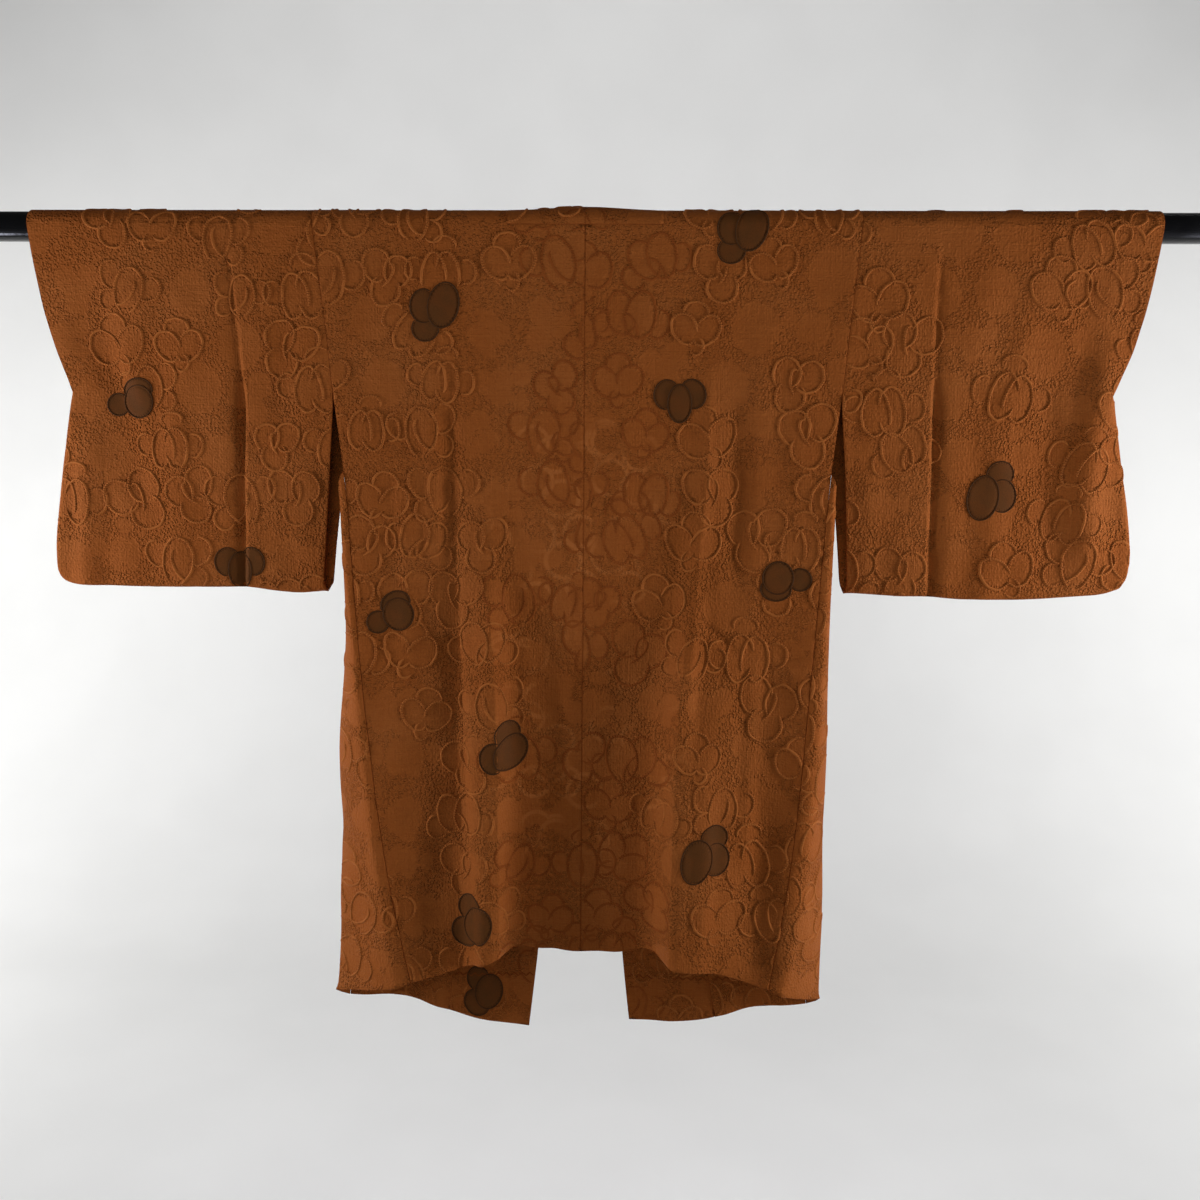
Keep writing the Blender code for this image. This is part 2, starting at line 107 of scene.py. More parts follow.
BACK_CREASES = (
    Crease(((-0.155, 0.13), (-0.155, 0.27), (-0.150, 0.40), (-0.146, 0.50), (-0.142, 0.60)),
           0.024, 0.012, -0.0024, False, True),
    Crease(((-0.148, 0.46), (-0.143, 0.57), (-0.137, 0.68), (-0.130, 0.78), (-0.126, 0.89)),
           0.026, 0.010, -0.0048, True, True),
    Crease(((-0.114, 0.38), (-0.104, 0.52), (-0.099, 0.62), (-0.097, 0.74), (-0.095, 0.89)),
           0.024, 0.028, 0.0125, True, True),
    Crease(((-0.050, 0.44), (-0.044, 0.60), (-0.040, 0.89)), 0.026, 0.024, -0.0020, True, False),
    Crease(((-0.180, 0.18), (-0.178, 0.30), (-0.175, 0.42)), 0.016, 0.014, 0.0030, False, False),
    Crease(((-0.166, 0.478), (-0.146, 0.483), (-0.124, 0.479)), 0.009, 0.009, -0.0026, False, True),
    Crease(((-0.016, 0.46), (-0.018, 0.66), (-0.014, 0.87)), 0.020, 0.022, 0.0018, True, False),
    Crease(((-0.216, 0.24), (-0.209, 0.38), (-0.204, 0.54)), 0.018, 0.018, 0.0022, False, False),
    Crease(((0.147, 0.13), (0.145, 0.28), (0.134, 0.40), (0.128, 0.52), (0.116, 0.62)),
           0.024, 0.016, 0.0045, False, True),
    Crease(((0.126, 0.44), (0.116, 0.54), (0.110, 0.64), (0.107, 0.76), (0.105, 0.89)),
           0.040, 0.024, 0.0160, True, True),
    Crease(((0.178, 0.15), (0.181, 0.30), (0.180, 0.42), (0.176, 0.50)),
           0.022, 0.024, -0.0028, False, False),
    Crease(((0.138, 0.452), (0.162, 0.474), (0.186, 0.497)), 0.010, 0.010, -0.0028, False, True),
    Crease(((0.165, 0.58), (0.162, 0.74), (0.158, 0.89)), 0.016, 0.016, -0.0022, True, False),
    Crease(((0.205, 0.44), (0.200, 0.62), (0.190, 0.80)), 0.016, 0.016, 0.0022, False, False),
    Crease(((0.226, 0.497), (0.244, 0.501), (0.262, 0.497)), 0.008, 0.008, -0.0016, False, True),
)
SLEEVE_CREASES = (
    Crease(((-0.418, 0.002), (-0.407, 0.129), (-0.402, 0.202), (-0.405, 0.30)),
           0.016, 0.005, -0.0032, False, True),
    Crease(((-0.403, 0.15), (-0.402, 0.202), (-0.406, 0.31), (-0.411, 0.45)),
           0.022, 0.005, -0.0075, True, True),
    Crease(((-0.583, 0.03), (-0.574, 0.11), (-0.564, 0.16), (-0.550, 0.21), (-0.540, 0.27),
            (-0.534, 0.37)), 0.046, 0.030, -0.0050, False, False),
    Crease(((-0.606, 0.22), (-0.598, 0.32), (-0.604, 0.45)), 0.022, 0.032, 0.0045, True, False),
    Crease(((-0.480, 0.18), (-0.488, 0.45)), 0.030, 0.030, 0.0022, True, False),
    Crease(((-0.350, 0.05), (-0.352, 0.45)), 0.024, 0.024, -0.0014, True, False),
    Crease(((0.408, 0.002), (0.405, 0.094), (0.406, 0.215), (0.408, 0.30)),
           0.005, 0.016, -0.0032, False, True),
    Crease(((0.4055, 0.15), (0.406, 0.215), (0.408, 0.31), (0.411, 0.45)),
           0.005, 0.020, -0.0062, True, True),
    Crease(((0.610, 0.10), (0.597, 0.20), (0.588, 0.28), (0.591, 0.34), (0.600, 0.43)),
           0.032, 0.038, 0.0105, False, False),
    Crease(((0.480, 0.16), (0.474, 0.45)), 0.030, 0.030, 0.0022, True, False),
    Crease(((0.546, 0.14), (0.542, 0.28), (0.552, 0.42)), 0.030, 0.022, -0.0030, False, False),
    Crease(((0.352, 0.05), (0.350, 0.45)), 0.024, 0.024, -0.0014, True, False),
)
FRONT_CREASES = (
    Crease(((-0.200, 0.24), (-0.205, 0.60), (-0.210, 0.98)), 0.030, 0.030, 0.0030, True, False),
    Crease(((-0.150, 0.40), (-0.150, 0.98)), 0.026, 0.026, -0.0030, True, False),
    Crease(((-0.252, 0.20), (-0.250, 0.52)), 0.020, 0.020, -0.0020, False, False),
    Crease(((0.205, 0.24), (0.208, 0.60), (0.206, 0.98)), 0.030, 0.030, 0.0030, True, False),
    Crease(((0.150, 0.40), (0.152, 0.98)), 0.026, 0.026, -0.0030, True, False),
    Crease(((0.252, 0.20), (0.250, 0.52)), 0.020, 0.020, -0.0020, False, False),
)
SLEEVE_FRONT_CREASES = (
    Crease(((-0.420, 0.01), (-0.410, 0.20), (-0.414, 0.45)), 0.024, 0.024, -0.0040, True, True),
    Crease(((-0.540, 0.10), (-0.548, 0.45)), 0.030, 0.030, 0.0024, True, False),
    Crease(((-0.350, 0.05), (-0.352, 0.45)), 0.024, 0.024, -0.0018, True, False),
    Crease(((0.414, 0.01), (0.408, 0.20), (0.412, 0.45)), 0.024, 0.024, -0.0040, True, True),
    Crease(((0.540, 0.10), (0.548, 0.45)), 0.030, 0.030, 0.0024, True, False),
    Crease(((0.352, 0.05), (0.350, 0.45)), 0.024, 0.024, -0.0018, True, False),
)

# One arc of a petal's outline, in millimetres: an ellipse, its lean, and from where to where
Arc = namedtuple("Arc", "x y wide tall lean start end")

CLUSTERS = (
    (
        Arc(-9, 3, 15, 23, 9, -118, 250),
        Arc(10, 4, 14, 21, -13, -140, 150),
        Arc(-27, -5, 11, 14, 18, 70, 300),
        Arc(26, -9, 11, 13, -12, -130, 110),
        Arc(1, -8, 6, 13, -24, 95, 262),
    ),
    (
        Arc(-13, 9, 15, 17, 0, -60, 250),
        Arc(12, 12, 15, 18, -16, -120, 190),
        Arc(-2, -14, 16, 17, 10, 130, 405),
        Arc(0, 2, 6, 15, 22, 60, 235),
    ),
    (
        Arc(0, 0, 16, 25, -6, -75, 255),
        Arc(4, -3, 9, 17, 20, 100, 280),
        Arc(-22, 8, 12, 14, 25, 55, 285),
        Arc(23, 10, 12, 15, -20, -105, 120),
        Arc(20, -17, 10, 11, 0, -150, 90),
    ),
    (
        Arc(-14, -2, 13, 19, 32, 0, 300),
        Arc(12, -1, 14, 18, -30, -110, 215),
        Arc(0, 17, 14, 13, 0, -20, 200),
        Arc(-3, -20, 8, 10, 0, 110, 330),
    ),
    (
        Arc(-10, 0, 12, 22, -4, 40, 320),
        Arc(6, 0, 13, 23, 5, -160, 160),
        Arc(-1, 3, 5, 16, 12, -80, 100),
        Arc(-30, 4, 10, 12, 0, 60, 290),
        Arc(27, 3, 10, 13, 0, -110, 120),
        Arc(2, 31, 12, 9, 0, -20, 195),
    ),
)

# One placed cluster: its middle, its design or None for a plain round, and how it is laid
Cluster = namedtuple("Cluster", "out length design turn size mirror corded")

# One dark blossom: its middle and its lobes, each lobe x, y, wide, tall, lean in millimetres.
# Below 0, length is on the back, and above 0 on the front
Blossom = namedtuple("Blossom", "out length turn lobes")
Lobe = namedtuple("Lobe", "x y wide tall lean")

PLAIN_ROUND = Lobe(0, 0, 25, 27, 0)
TALL_TRIO = (Lobe(-11, -19, 16, 15, 20), Lobe(-13, 6, 16, 19, 0), Lobe(10, 7, 18, 26, -12))
WIDE_TRIO = (Lobe(-15, 4, 15, 17, 0), Lobe(15, 5, 15, 17, 20), Lobe(0, -6, 14, 22, 0))
LOW_PAIR = (Lobe(-20, -3, 13, 13, 0), Lobe(8, 9, 18, 14, 0), Lobe(6, -4, 18, 19, -10))
LONG_TRIO = (Lobe(-3, 17, 14, 16, 0), Lobe(-9, -14, 16, 18, 20), Lobe(8, -2, 17, 23, -15))


def down_back(z):
    """Length over the back for a height."""
    return -(HALF_TURN - z)


BODY_BLOSSOMS = (
    Blossom(-0.174, down_back(-0.098), 0, TALL_TRIO),
    Blossom(-0.226, down_back(-0.450), 24, LOW_PAIR),
    Blossom(-0.091, down_back(-0.610), -20, LONG_TRIO),
    Blossom(-0.130, down_back(-0.820), 0, LONG_TRIO),
    Blossom(0.180, down_back(-0.010), -4, TALL_TRIO),
    Blossom(0.111, down_back(-0.196), 0, WIDE_TRIO),
    Blossom(0.235, down_back(-0.408), 178, LOW_PAIR),
    Blossom(0.147, down_back(-0.728), 180, TALL_TRIO),
    Blossom(-0.240, 0.200, 30, WIDE_TRIO),
    Blossom(-0.190, 0.520, -30, LONG_TRIO),
    Blossom(-0.232, 0.800, 12, TALL_TRIO),
    Blossom(0.160, 0.300, 10, LONG_TRIO),
    Blossom(0.232, 0.610, -14, WIDE_TRIO),
    Blossom(0.200, 0.870, 40, LOW_PAIR),
)
SLEEVE_BLOSSOMS = (
    Blossom(-0.537, down_back(-0.200), 10, LOW_PAIR),
    Blossom(-0.414, down_back(-0.397), 0, WIDE_TRIO),
    Blossom(0.476, down_back(-0.301), 184, TALL_TRIO),
    Blossom(-0.500, 0.190, 24, TALL_TRIO),
    Blossom(-0.380, 0.370, -10, LOW_PAIR),
    Blossom(0.400, 0.150, 0, WIDE_TRIO),
    Blossom(0.560, 0.350, 30, LONG_TRIO),
)
# Seen from inside, below the back's hem
INSIDE_BLOSSOMS = (Blossom(-0.128, down_back(-0.944), 8, LONG_TRIO),)


def length_prop(name, description, default, low=0.0):
    return bpy.props.FloatProperty(
        name=name, description=description, default=default, min=low, unit="LENGTH")


def share_prop(name, description, default, low=0.0, high=1.0):
    return bpy.props.FloatProperty(
        name=name, description=description, default=default, min=low, max=high, subtype="FACTOR")


def power_prop(name, description, default):
    return bpy.props.FloatProperty(
        name=name, description=description, default=default, min=0.0, unit="POWER")


def angle_prop(name, description, degrees):
    return bpy.props.FloatProperty(
        name=name, description=description, default=math.radians(degrees), subtype="ANGLE")


def colour_prop(name, description, default):
    return bpy.props.FloatVectorProperty(
        name=name, description=description, default=default, size=3, min=0.0, max=1.0, subtype="COLOR")


class CoatCloth(bpy.types.PropertyGroup):
    """Sizes of the hanging cloth."""

    smoothing: bpy.props.IntProperty(
        name="Smoothing", description="Levels of smoothing on each shell", default=2, min=1, max=3)
    crease: share_prop("Creases", "Depth of the creases, as a share of the measured ones", 1.0, high=3.0)
    ripple: length_prop("Ripple", "How far the slack cloth waves in and out", 0.0011)
    puff: length_prop("Petal puff", "How far a petal's middle stands out", 0.0003)
    seam_reach: length_prop("Seam reach", "How far each edge reaches over into its seam", 0.00036)
    edge_round: length_prop("Edge rounding", "Radius of the turned edges", 0.00075, 0.0001)


class CoatRelief(bpy.types.PropertyGroup):
    """Sizes of the woven petals and blossoms."""

    cord_width: length_prop("Cord width", "Width of a petal's raised outline", 0.0036, 0.0005)
    cord_height: length_prop("Cord height", "How far the outline stands out", 0.00135, 0.0001)
    flat_share: share_prop(
        "Flat cords", "Height of the outlines near the back's middle, as a share", 0.35, 0.05)
    cord_step: length_prop("Cord step", "Length between two sections of a cord", 0.0034, 0.001)
    spacing: length_prop("Cluster spacing", "Distance between the middles of two clusters", 0.069, 0.04)
    shake: length_prop("Shake", "How far a cluster strays from its even place", 0.011)
    ghosts: share_prop("Ghost petals", "Share of the petal clusters that have no cords", 0.24)
    rounds: share_prop("Plain rounds", "Share of the clusters that are plain rounds", 0.16)
    lobe_rise: length_prop("Blossom rise", "How far a blossom stands on the cloth", 0.00035, 0.0001)
    seed: bpy.props.IntProperty(
        name="Seed", description="Another number lays the clusters another way", default=11)


class CoatColours(bpy.types.PropertyGroup):
    """Colours of the silk and the rod."""

    silk: colour_prop("Silk", "Main colour of the silk", (0.350, 0.101, 0.0200))
    # Silk, deep is painted shade in the crinkle's hollows and on the flat outlines near the back's middle;
    # it is also the silk's own darker threads and slubs and the darker tone inside the petals
    silk_deep: colour_prop(
        "Silk, deep", "Colour in the crinkle's hollows and of the flat outlines", (0.235, 0.057, 0.0105))
    # Painted shade: the dark line on the back's middle seam, at the cords' feet and on the turned edges of
    # the seams and hems
    silk_shade: colour_prop(
        "Silk, fold", "Colour in the seams and at the cords' feet", (0.130, 0.024, 0.0035))
    # Silk, pale is the colour of the plain rounds and of the random paler patches of the ground, and on the
    # cords it is a painted highlight
    silk_pale: colour_prop(
        "Silk, pale", "Colour of the plain rounds and worn places", (0.380, 0.118, 0.0265))
    # Painted light: the faint paler rings where light from behind shines through the sheer silk on the
    # middle of the back
    ghost: colour_prop(
        "Ghost rings", "Colour of the faint rings on the middle of the back", (0.560, 0.190, 0.0500))
    blossom: colour_prop("Blossom", "Colour of the dark blossoms", (0.118, 0.043, 0.0115))
    blossom_line: colour_prop("Blossom line", "Colour of the blossoms' outlines", (0.056, 0.024, 0.0095))
    rod: colour_prop("Rod", "Colour of the rod's paint", (0.004, 0.004, 0.0045))


class CoatStage(bpy.types.PropertyGroup):
    """Stage, lights and camera."""

    wall: colour_prop("Wall", "Colour of the floor and wall", (0.80, 0.80, 0.79))
    side_light: power_prop("Side lights", "Power of the soft lights close to both sleeves", 3.2)
    far_left: power_prop("Far left light", "Power of the light far out at the left", 4.6)
    far_right: power_prop("Far right light", "Power of the light far out at the right", 7.2)
    front_light: power_prop("Front light", "Power of the soft light above the camera", 3.5)
    wall_light: power_prop("Wall lights", "Power of the lights on both sides of the wall", 40.0)
    top_light: power_prop("Top light", "Power of the light on the top of the wall", 21.5)
    floor_light: power_prop("Floor light", "Power of the light on the floor under the coat", 2.3)
    fill: bpy.props.FloatProperty(
        name="Fill", description="Strength of the even light from all around", default=0.04, min=0.0)
    pitch: angle_prop("Camera pitch", "How far the camera looks down", 6.8)
    yaw: angle_prop("Camera yaw", "How far the camera looks to the side", 1.75)
    roll: angle_prop("Camera roll", "How far the camera leans", 0.43)
    place: bpy.props.FloatVectorProperty(
        name="Camera place", description="Where the camera stands", subtype="TRANSLATION", size=3,
        default=(0.0633, -1.4331, -0.2642))
    lens: bpy.props.FloatProperty(
        name="Lens", description="Focal length in millimetres", default=36.0, min=10.0)


def smooth(value):
    """0 below 0, 1 above 1, with a soft turn at both ends. It takes numbers and arrays."""
    value = np.clip(value, 0.0, 1.0)
    return value * value * (3.0 - 2.0 * value)


def turned(x, y, angle):
    """A point turned about the origin. It takes numbers and arrays."""
    return x * math.cos(angle) - y * math.sin(angle), x * math.sin(angle) + y * math.cos(angle)


def unbroken(hits):
    """The runs of more than three hits between the gaps, which are None."""
    runs, run = [], []
    for hit in [*hits, None]:
        if hit is not None:
            run.append(hit)
            continue
        if len(run) > 3:
            runs.append(run)
        run = []
    return runs


def deselect():
    for other in list(bpy.context.selected_objects):
        other.select_set(False)


def select_only(piece):
    deselect()
    piece.select_set(True)
    bpy.context.view_layer.objects.active = piece


def apply_modifier(piece, kind, **values):
    """Adds one modifier, sets it and applies it."""
    select_only(piece)
    modifier = piece.modifiers.new(kind.title(), kind)
    for key, value in values.items():
        setattr(modifier, key, value)
    bpy.ops.object.modifier_apply(modifier=modifier.name)


@contextmanager
def edited(data):
    """A mesh held open for changes and then written back."""
    mesh = bmesh.new()
    mesh.from_mesh(data)
    yield mesh
    mesh.to_mesh(data)
    mesh.free()


def points_of(data):
    """A mesh's points, in rows of x, y and z."""
    points = np.empty(len(data.vertices) * 3)
    data.vertices.foreach_get("co", points)
    return points.reshape(-1, 3)


def mark_points(data, title, values):
    """Keeps a number at each point of a mesh, for its material to read."""
    layer = data.attributes.new(title, "FLOAT", "POINT")
    layer.data.foreach_set("value", np.array(values, dtype=np.float32))


def link_piece(name, mesh, paint):
    piece = bpy.data.objects.new(name, mesh)
    bpy.context.scene.collection.objects.link(piece)
    mesh.materials.clear()
    mesh.materials.append(paint)
    return piece


# Materials

class Nodes:
    """A material's nodes, with short ways to add and join them."""

    def __init__(self, name):
        self.material = bpy.data.materials.new(name)
        self.material.use_nodes = True
        self.tree = self.material.node_tree
        self.shader = self.tree.nodes["Principled BSDF"]
        self.place = self.add("ShaderNodeTexCoord").outputs["Object"]

    def add(self, kind, inputs=None, **settings):
        node = self.tree.nodes.new(kind)
        for key, value in settings.items():
            setattr(node, key, value)
        for key, value in (inputs or {}).items():
            self.put(value, node.inputs[key])
        return node

    def put(self, value, socket):
        if isinstance(value, bpy.types.NodeSocket):
            self.tree.links.new(value, socket)
        else:
            socket.default_value = value

    def maths(self, operation, first, second=0.0):
        return self.add("ShaderNodeMath", {0: first, 1: second}, operation=operation).outputs[0]

    def times(self, *values):
        """The product of two or more values."""
        product = values[0]
        for value in values[1:]:
            product = self.maths("MULTIPLY", product, value)
        return product

    def blend(self, share, first, second):
        """A colour between two others."""
        node = self.add("ShaderNodeMix", data_type="RGBA")
        self.put(share, node.inputs[0])
        self.put(first if isinstance(first, bpy.types.NodeSocket) else (*first, 1.0), node.inputs[6])
        self.put(second if isinstance(second, bpy.types.NodeSocket) else (*second, 1.0), node.inputs[7])
        return node.outputs[2]

    def tinted(self, colour, *tints):
        """A colour with others laid over it, each with its share."""
        for share, tint in tints:
            colour = self.blend(share, colour, tint)
        return colour

    def spread(self, value, low, high, to_low=0.0, to_high=1.0):
        """A value stretched from one range to another, softly."""
        node = self.add("ShaderNodeMapRange", interpolation_type="SMOOTHSTEP")
        for socket, number in zip(node.inputs, (value, low, high, to_low, to_high)):
            self.put(number, socket)
        return node.outputs[0]

    def noise(self, scale, detail=2.0, distortion=0.0, stretch=None):
        """Noise on the object's own coordinates, which stretch can scale along each axis."""
        place = self.place
        if stretch:
            stretched = self.add("ShaderNodeVectorMath", {0: place, 1: stretch}, operation="MULTIPLY")
            place = stretched.outputs[0]
        return self.add("ShaderNodeTexNoise", {
            "Vector": place, "Scale": scale, "Detail": detail, "Distortion": distortion,
        }).outputs[0]

    def parts(self):
        """The place's x, y and z."""
        return self.add("ShaderNodeSeparateXYZ", {"Vector": self.place}).outputs

    def attribute(self, name):
        return self.add("ShaderNodeAttribute", attribute_name=name).outputs["Fac"]

    def bump(self, height, distance, strength=1.0, below=None):
        inputs = {"Height": height, "Distance": distance, "Strength": strength}
        if below is not None:
            inputs["Normal"] = below
        return self.add("ShaderNodeBump", inputs).outputs[0]

    def finish(self, colour, roughness, gloss, normal=None):
        """Joins the shader's main inputs."""
        self.put(colour, self.shader.inputs["Base Color"])
        self.put(roughness, self.shader.inputs["Roughness"])
        self.put(gloss, self.shader.inputs["Specular IOR Level"])
        if normal is not None:
            self.put(normal, self.shader.inputs["Normal"])
        return self.material

    def finish_silk(self, colour, roughness, normal):
        """The same, with the little sheen and gloss of crinkled silk."""
        self.put(0.02, self.shader.inputs["Sheen Weight"])
        self.put(0.45, self.shader.inputs["Sheen Roughness"])
        self.put((1.0, 0.42, 0.14, 1.0), self.shader.inputs["Sheen Tint"])
        return self.finish(colour, roughness, 0.02, normal)


def make_silk():
    """Rust silk: pebbly crinkle between the petals, smooth and a little paler inside them."""
    colours = bpy.context.scene.coat_colours
    nodes = Nodes("rust_silk_crinkled")
    calm = nodes.attribute("calm")
    pale = nodes.attribute("pale")

    grain = nodes.add("ShaderNodeTexVoronoi", {"Vector": nodes.place, "Scale": 310.0}).outputs["Distance"]
    strays = nodes.noise(420.0, 1.0)
    pebble = nodes.spread(nodes.maths("ADD", grain, strays), 0.50, 1.20, 1.0, 0.0)
    rough_ground = nodes.spread(calm, 0.25, 0.85, 1.0, 0.22)
    crinkle = nodes.times(pebble, rough_ground)
    # Painted shade: the crinkle's hollows are painted darker, towards the deep silk colour
    hollow_shade = nodes.times(nodes.maths("SUBTRACT", 1.0, pebble), rough_ground)
    slack = nodes.noise(34.0)
    slubs = nodes.noise(260.0)
    patch = nodes.noise(9.0)
    upright = nodes.noise(1.0, 1.0, stretch=(760.0, 760.0, 22.0))
    level = nodes.noise(1.0, 1.0, stretch=(26.0, 26.0, 760.0))
    weave = nodes.times(nodes.maths("ADD", upright, level), 0.5)

    colour = nodes.tinted(
        nodes.blend(nodes.spread(patch, 0.35, 0.68), colours.silk, colours.silk_pale),
        (nodes.spread(weave, 0.38, 0.62, 0.30, 0.0), colours.silk_deep),
        # painted shade in the crinkle's hollows
        (nodes.times(hollow_shade, 0.30), colours.silk_deep),
        (nodes.times(calm, 0.26), colours.silk_deep),
        (nodes.spread(slubs, 0.50, 0.74, 0.0, 0.22), colours.silk_deep),
        (nodes.times(pale, 0.12), colours.silk_pale),
        (painted_backlight_rings(nodes), colours.ghost),
        (seam_shadow(nodes), colours.silk_shade))
    fine = nodes.maths("ADD", nodes.times(weave, 0.55), crinkle)
    height = nodes.maths("ADD", fine, nodes.times(slack, 0.7))
    return nodes.finish_silk(colour, nodes.spread(crinkle, 0.0, 1.0, 0.62, 0.78), nodes.bump(height, 0.0022))


def seam_shadow(nodes):
    """The soft dark line where the two backs are sewn together."""
    x = nodes.parts()[0]
    return nodes.spread(nodes.maths("ABSOLUTE", x), 0.0004, 0.0014, 0.46, 0.0)


def painted_backlight_rings(nodes):
    """Painted light: faint paler rings on the middle of the back, where light from behind shines through the
    sheer silk and shows the fronts' petals.
    """
    x, y, z = nodes.parts()
    flat = nodes.add("ShaderNodeCombineXYZ", {"X": x, "Y": z}).outputs[0]
    rings = 0.0
    for shift, size in (((0.0, 0.0, 0.0), 15.0), ((0.031, 0.017, 0.0), 17.0)):
        moved = nodes.add("ShaderNodeVectorMath", {0: flat, 1: shift}, operation="ADD").outputs[0]
        far = nodes.add("ShaderNodeTexVoronoi", {"Vector": moved, "Scale": size, "Randomness": 0.7},
                        voronoi_dimensions="2D").outputs["Distance"]
        off = nodes.maths("ABSOLUTE", nodes.maths("SUBTRACT", far, 0.31))
        rings = nodes.maths("MAXIMUM", nodes.spread(off, 0.015, 0.060, 1.0, 0.0), rings)
    middle = nodes.spread(nodes.maths("ABSOLUTE", x), 0.07, 0.15, 1.0, 0.0)
    upper = nodes.spread(z, -0.26, -0.16, 1.0, 0.0)
    lower = nodes.spread(z, -0.80, -0.66, 0.0, 1.0)
    behind = nodes.spread(y, -0.012, 0.0, 1.0, 0.0)
    broken = nodes.spread(nodes.noise(22.0, 1.0), 0.42, 0.62)
    return nodes.times(rings, middle, upper, lower, behind, broken, 0.34)


def make_cord_silk():
    """The petals' outlines: the same silk, drawn tight, with fine ticks across, painted paler as a highlight
    and darker at the feet as shade.
    """
    colours = bpy.context.scene.coat_colours
    nodes = Nodes("rust_silk_cord")
    tick = nodes.maths("SINE", nodes.times(nodes.attribute("along"), 2.0 * math.pi / 0.0029))
    ticked = nodes.spread(nodes.noise(46.0, 1.0), 0.36, 0.60)
    groove = nodes.times(nodes.spread(tick, -0.4, 0.7), ticked)
    threads = nodes.noise(900.0)
    colour = nodes.tinted(
        # Painted highlight: the cord is painted paler than the ground, mostly in the pale silk colour
        nodes.blend(nodes.spread(threads, 0.3, 0.7, 0.0, 0.25), colours.silk_pale, colours.silk),
        (nodes.times(groove, 0.55), colours.silk_deep),
        # painted shade at the cord's feet, where its sides meet the cloth
        (nodes.spread(nodes.attribute("ridge"), 0.0, 0.9, 0.10, 0.0), colours.silk_shade),
        # Painted shade: the flat outlines near the back's middle are painted darker, towards the deep silk
        # colour
        (nodes.spread(nodes.attribute("flat"), 0.0, 0.5, 0.0, 0.82), colours.silk_deep))
    fine = nodes.bump(threads, 0.00015, 0.7)
    return nodes.finish_silk(
        colour, nodes.spread(threads, 0.3, 0.7, 0.50, 0.62), nodes.bump(groove, 0.0009, 1.0, fine))


def make_seam_shade_silk():
    """The turned edges: silk drawn tight into the seams and hems, painted darker as shade."""
    colours = bpy.context.scene.coat_colours
    nodes = Nodes("rust_silk_seam_shade")
    threads = nodes.noise(700.0)
    pulled = nodes.noise(120.0, 1.0)
    colour = nodes.blend(nodes.spread(threads, 0.3, 0.7, 0.4, 1.0), colours.silk_shade, colours.silk_deep)
    fine = nodes.bump(threads, 0.0002, 0.8)
    return nodes.finish_silk(
        colour, nodes.spread(threads, 0.3, 0.7, 0.62, 0.75), nodes.bump(pulled, 0.0006, 0.8, fine))


def make_blossom_silk():
    """Dark blossoms: tight weave, with short ticks in from the edge."""
    colours = bpy.context.scene.coat_colours
    nodes = Nodes("dark_blossom_silk")
    wave = nodes.maths("SINE", nodes.times(nodes.attribute("round_edge"), 2.0 * math.pi * 30.0))
    near_edge = nodes.spread(nodes.attribute("edge"), 0.76, 0.96)
    ticked = nodes.times(nodes.spread(wave, 0.0, 0.9), near_edge)
    threads = nodes.noise(1100.0)
    patch = nodes.noise(60.0, 3.0)
    colour = nodes.tinted(
        nodes.blend(nodes.spread(patch, 0.3, 0.7, 0.0, 0.22), colours.blossom, colours.silk_deep),
        (nodes.spread(threads, 0.35, 0.75, 0.0, 0.4), colours.blossom_line),
        (nodes.times(ticked, 0.7), colours.blossom_line))
    fine = nodes.bump(threads, 0.00014, 0.8)
    return nodes.finish_silk(
        colour, nodes.spread(threads, 0.3, 0.7, 0.52, 0.66), nodes.bump(ticked, 0.0003, 0.8, fine))


def make_line_silk():
    """The dark outline of a blossom."""
    colours = bpy.context.scene.coat_colours
    nodes = Nodes("dark_blossom_line")
    threads = nodes.noise(900.0)
    colour = nodes.blend(nodes.spread(threads, 0.3, 0.8, 0.0, 0.5), colours.blossom_line, colours.blossom)
    return nodes.finish_silk(
        colour, nodes.spread(threads, 0.3, 0.7, 0.5, 0.65), nodes.bump(threads, 0.00015, 0.8))


def make_rod_paint():
    """Glossy black paint with a trace of orange peel and dust."""
    colours = bpy.context.scene.coat_colours
    nodes = Nodes("gloss_black_paint")
    peel = nodes.noise(260.0)
    wear = nodes.noise(12.0, 4.0, 0.5)
    dusty = tuple(value + 0.012 for value in colours.rod)
    colour = nodes.blend(nodes.spread(wear, 0.5, 0.75, 0.0, 0.5), colours.rod, dusty)
    return nodes.finish(
        colour, nodes.spread(wear, 0.3, 0.75, 0.10, 0.22), 0.5, nodes.bump(peel, 0.0002, 0.35))


def material(name, make):
    """A material made once and used again."""
    return bpy.data.materials.get(name) or make()


# Places on the cloth: out is x, and length runs from the rod's top line, below 0 to the back

def aim(out, length):
    """Where to look at the cloth from, and which way, for a place on it."""
    if abs(length) <= HALF_TURN:
        angle = math.pi / 2 - length / OVER_RADIUS
        away = Vector((0.0, math.cos(angle), math.sin(angle)))
        return Vector((out, 0.0, 0.0)) + away * REACH, -away
    face = math.copysign(1.0, length)
    return Vector((out, face * REACH, HALF_TURN - abs(length))), Vector((0.0, -face, 0.0))


def lengths_of(points, face=0.0):
    """The length for each point, and the way that is outwards there."""
    y, z = points[:, 1], points[:, 2]
    sign = np.where(y < 0, -1.0, 1.0) if face == 0.0 else np.full(len(y), face)
    over = z > 0
    angle = np.arctan2(z, y)
    length = np.where(over, (math.pi / 2 - angle) * OVER_RADIUS, sign * (HALF_TURN - z))
    outwards = np.zeros_like(points)
    outwards[:, 1] = np.where(over, np.cos(angle), sign)
    outwards[:, 2] = np.where(over, np.sin(angle), 0.0)
    return length, outwards


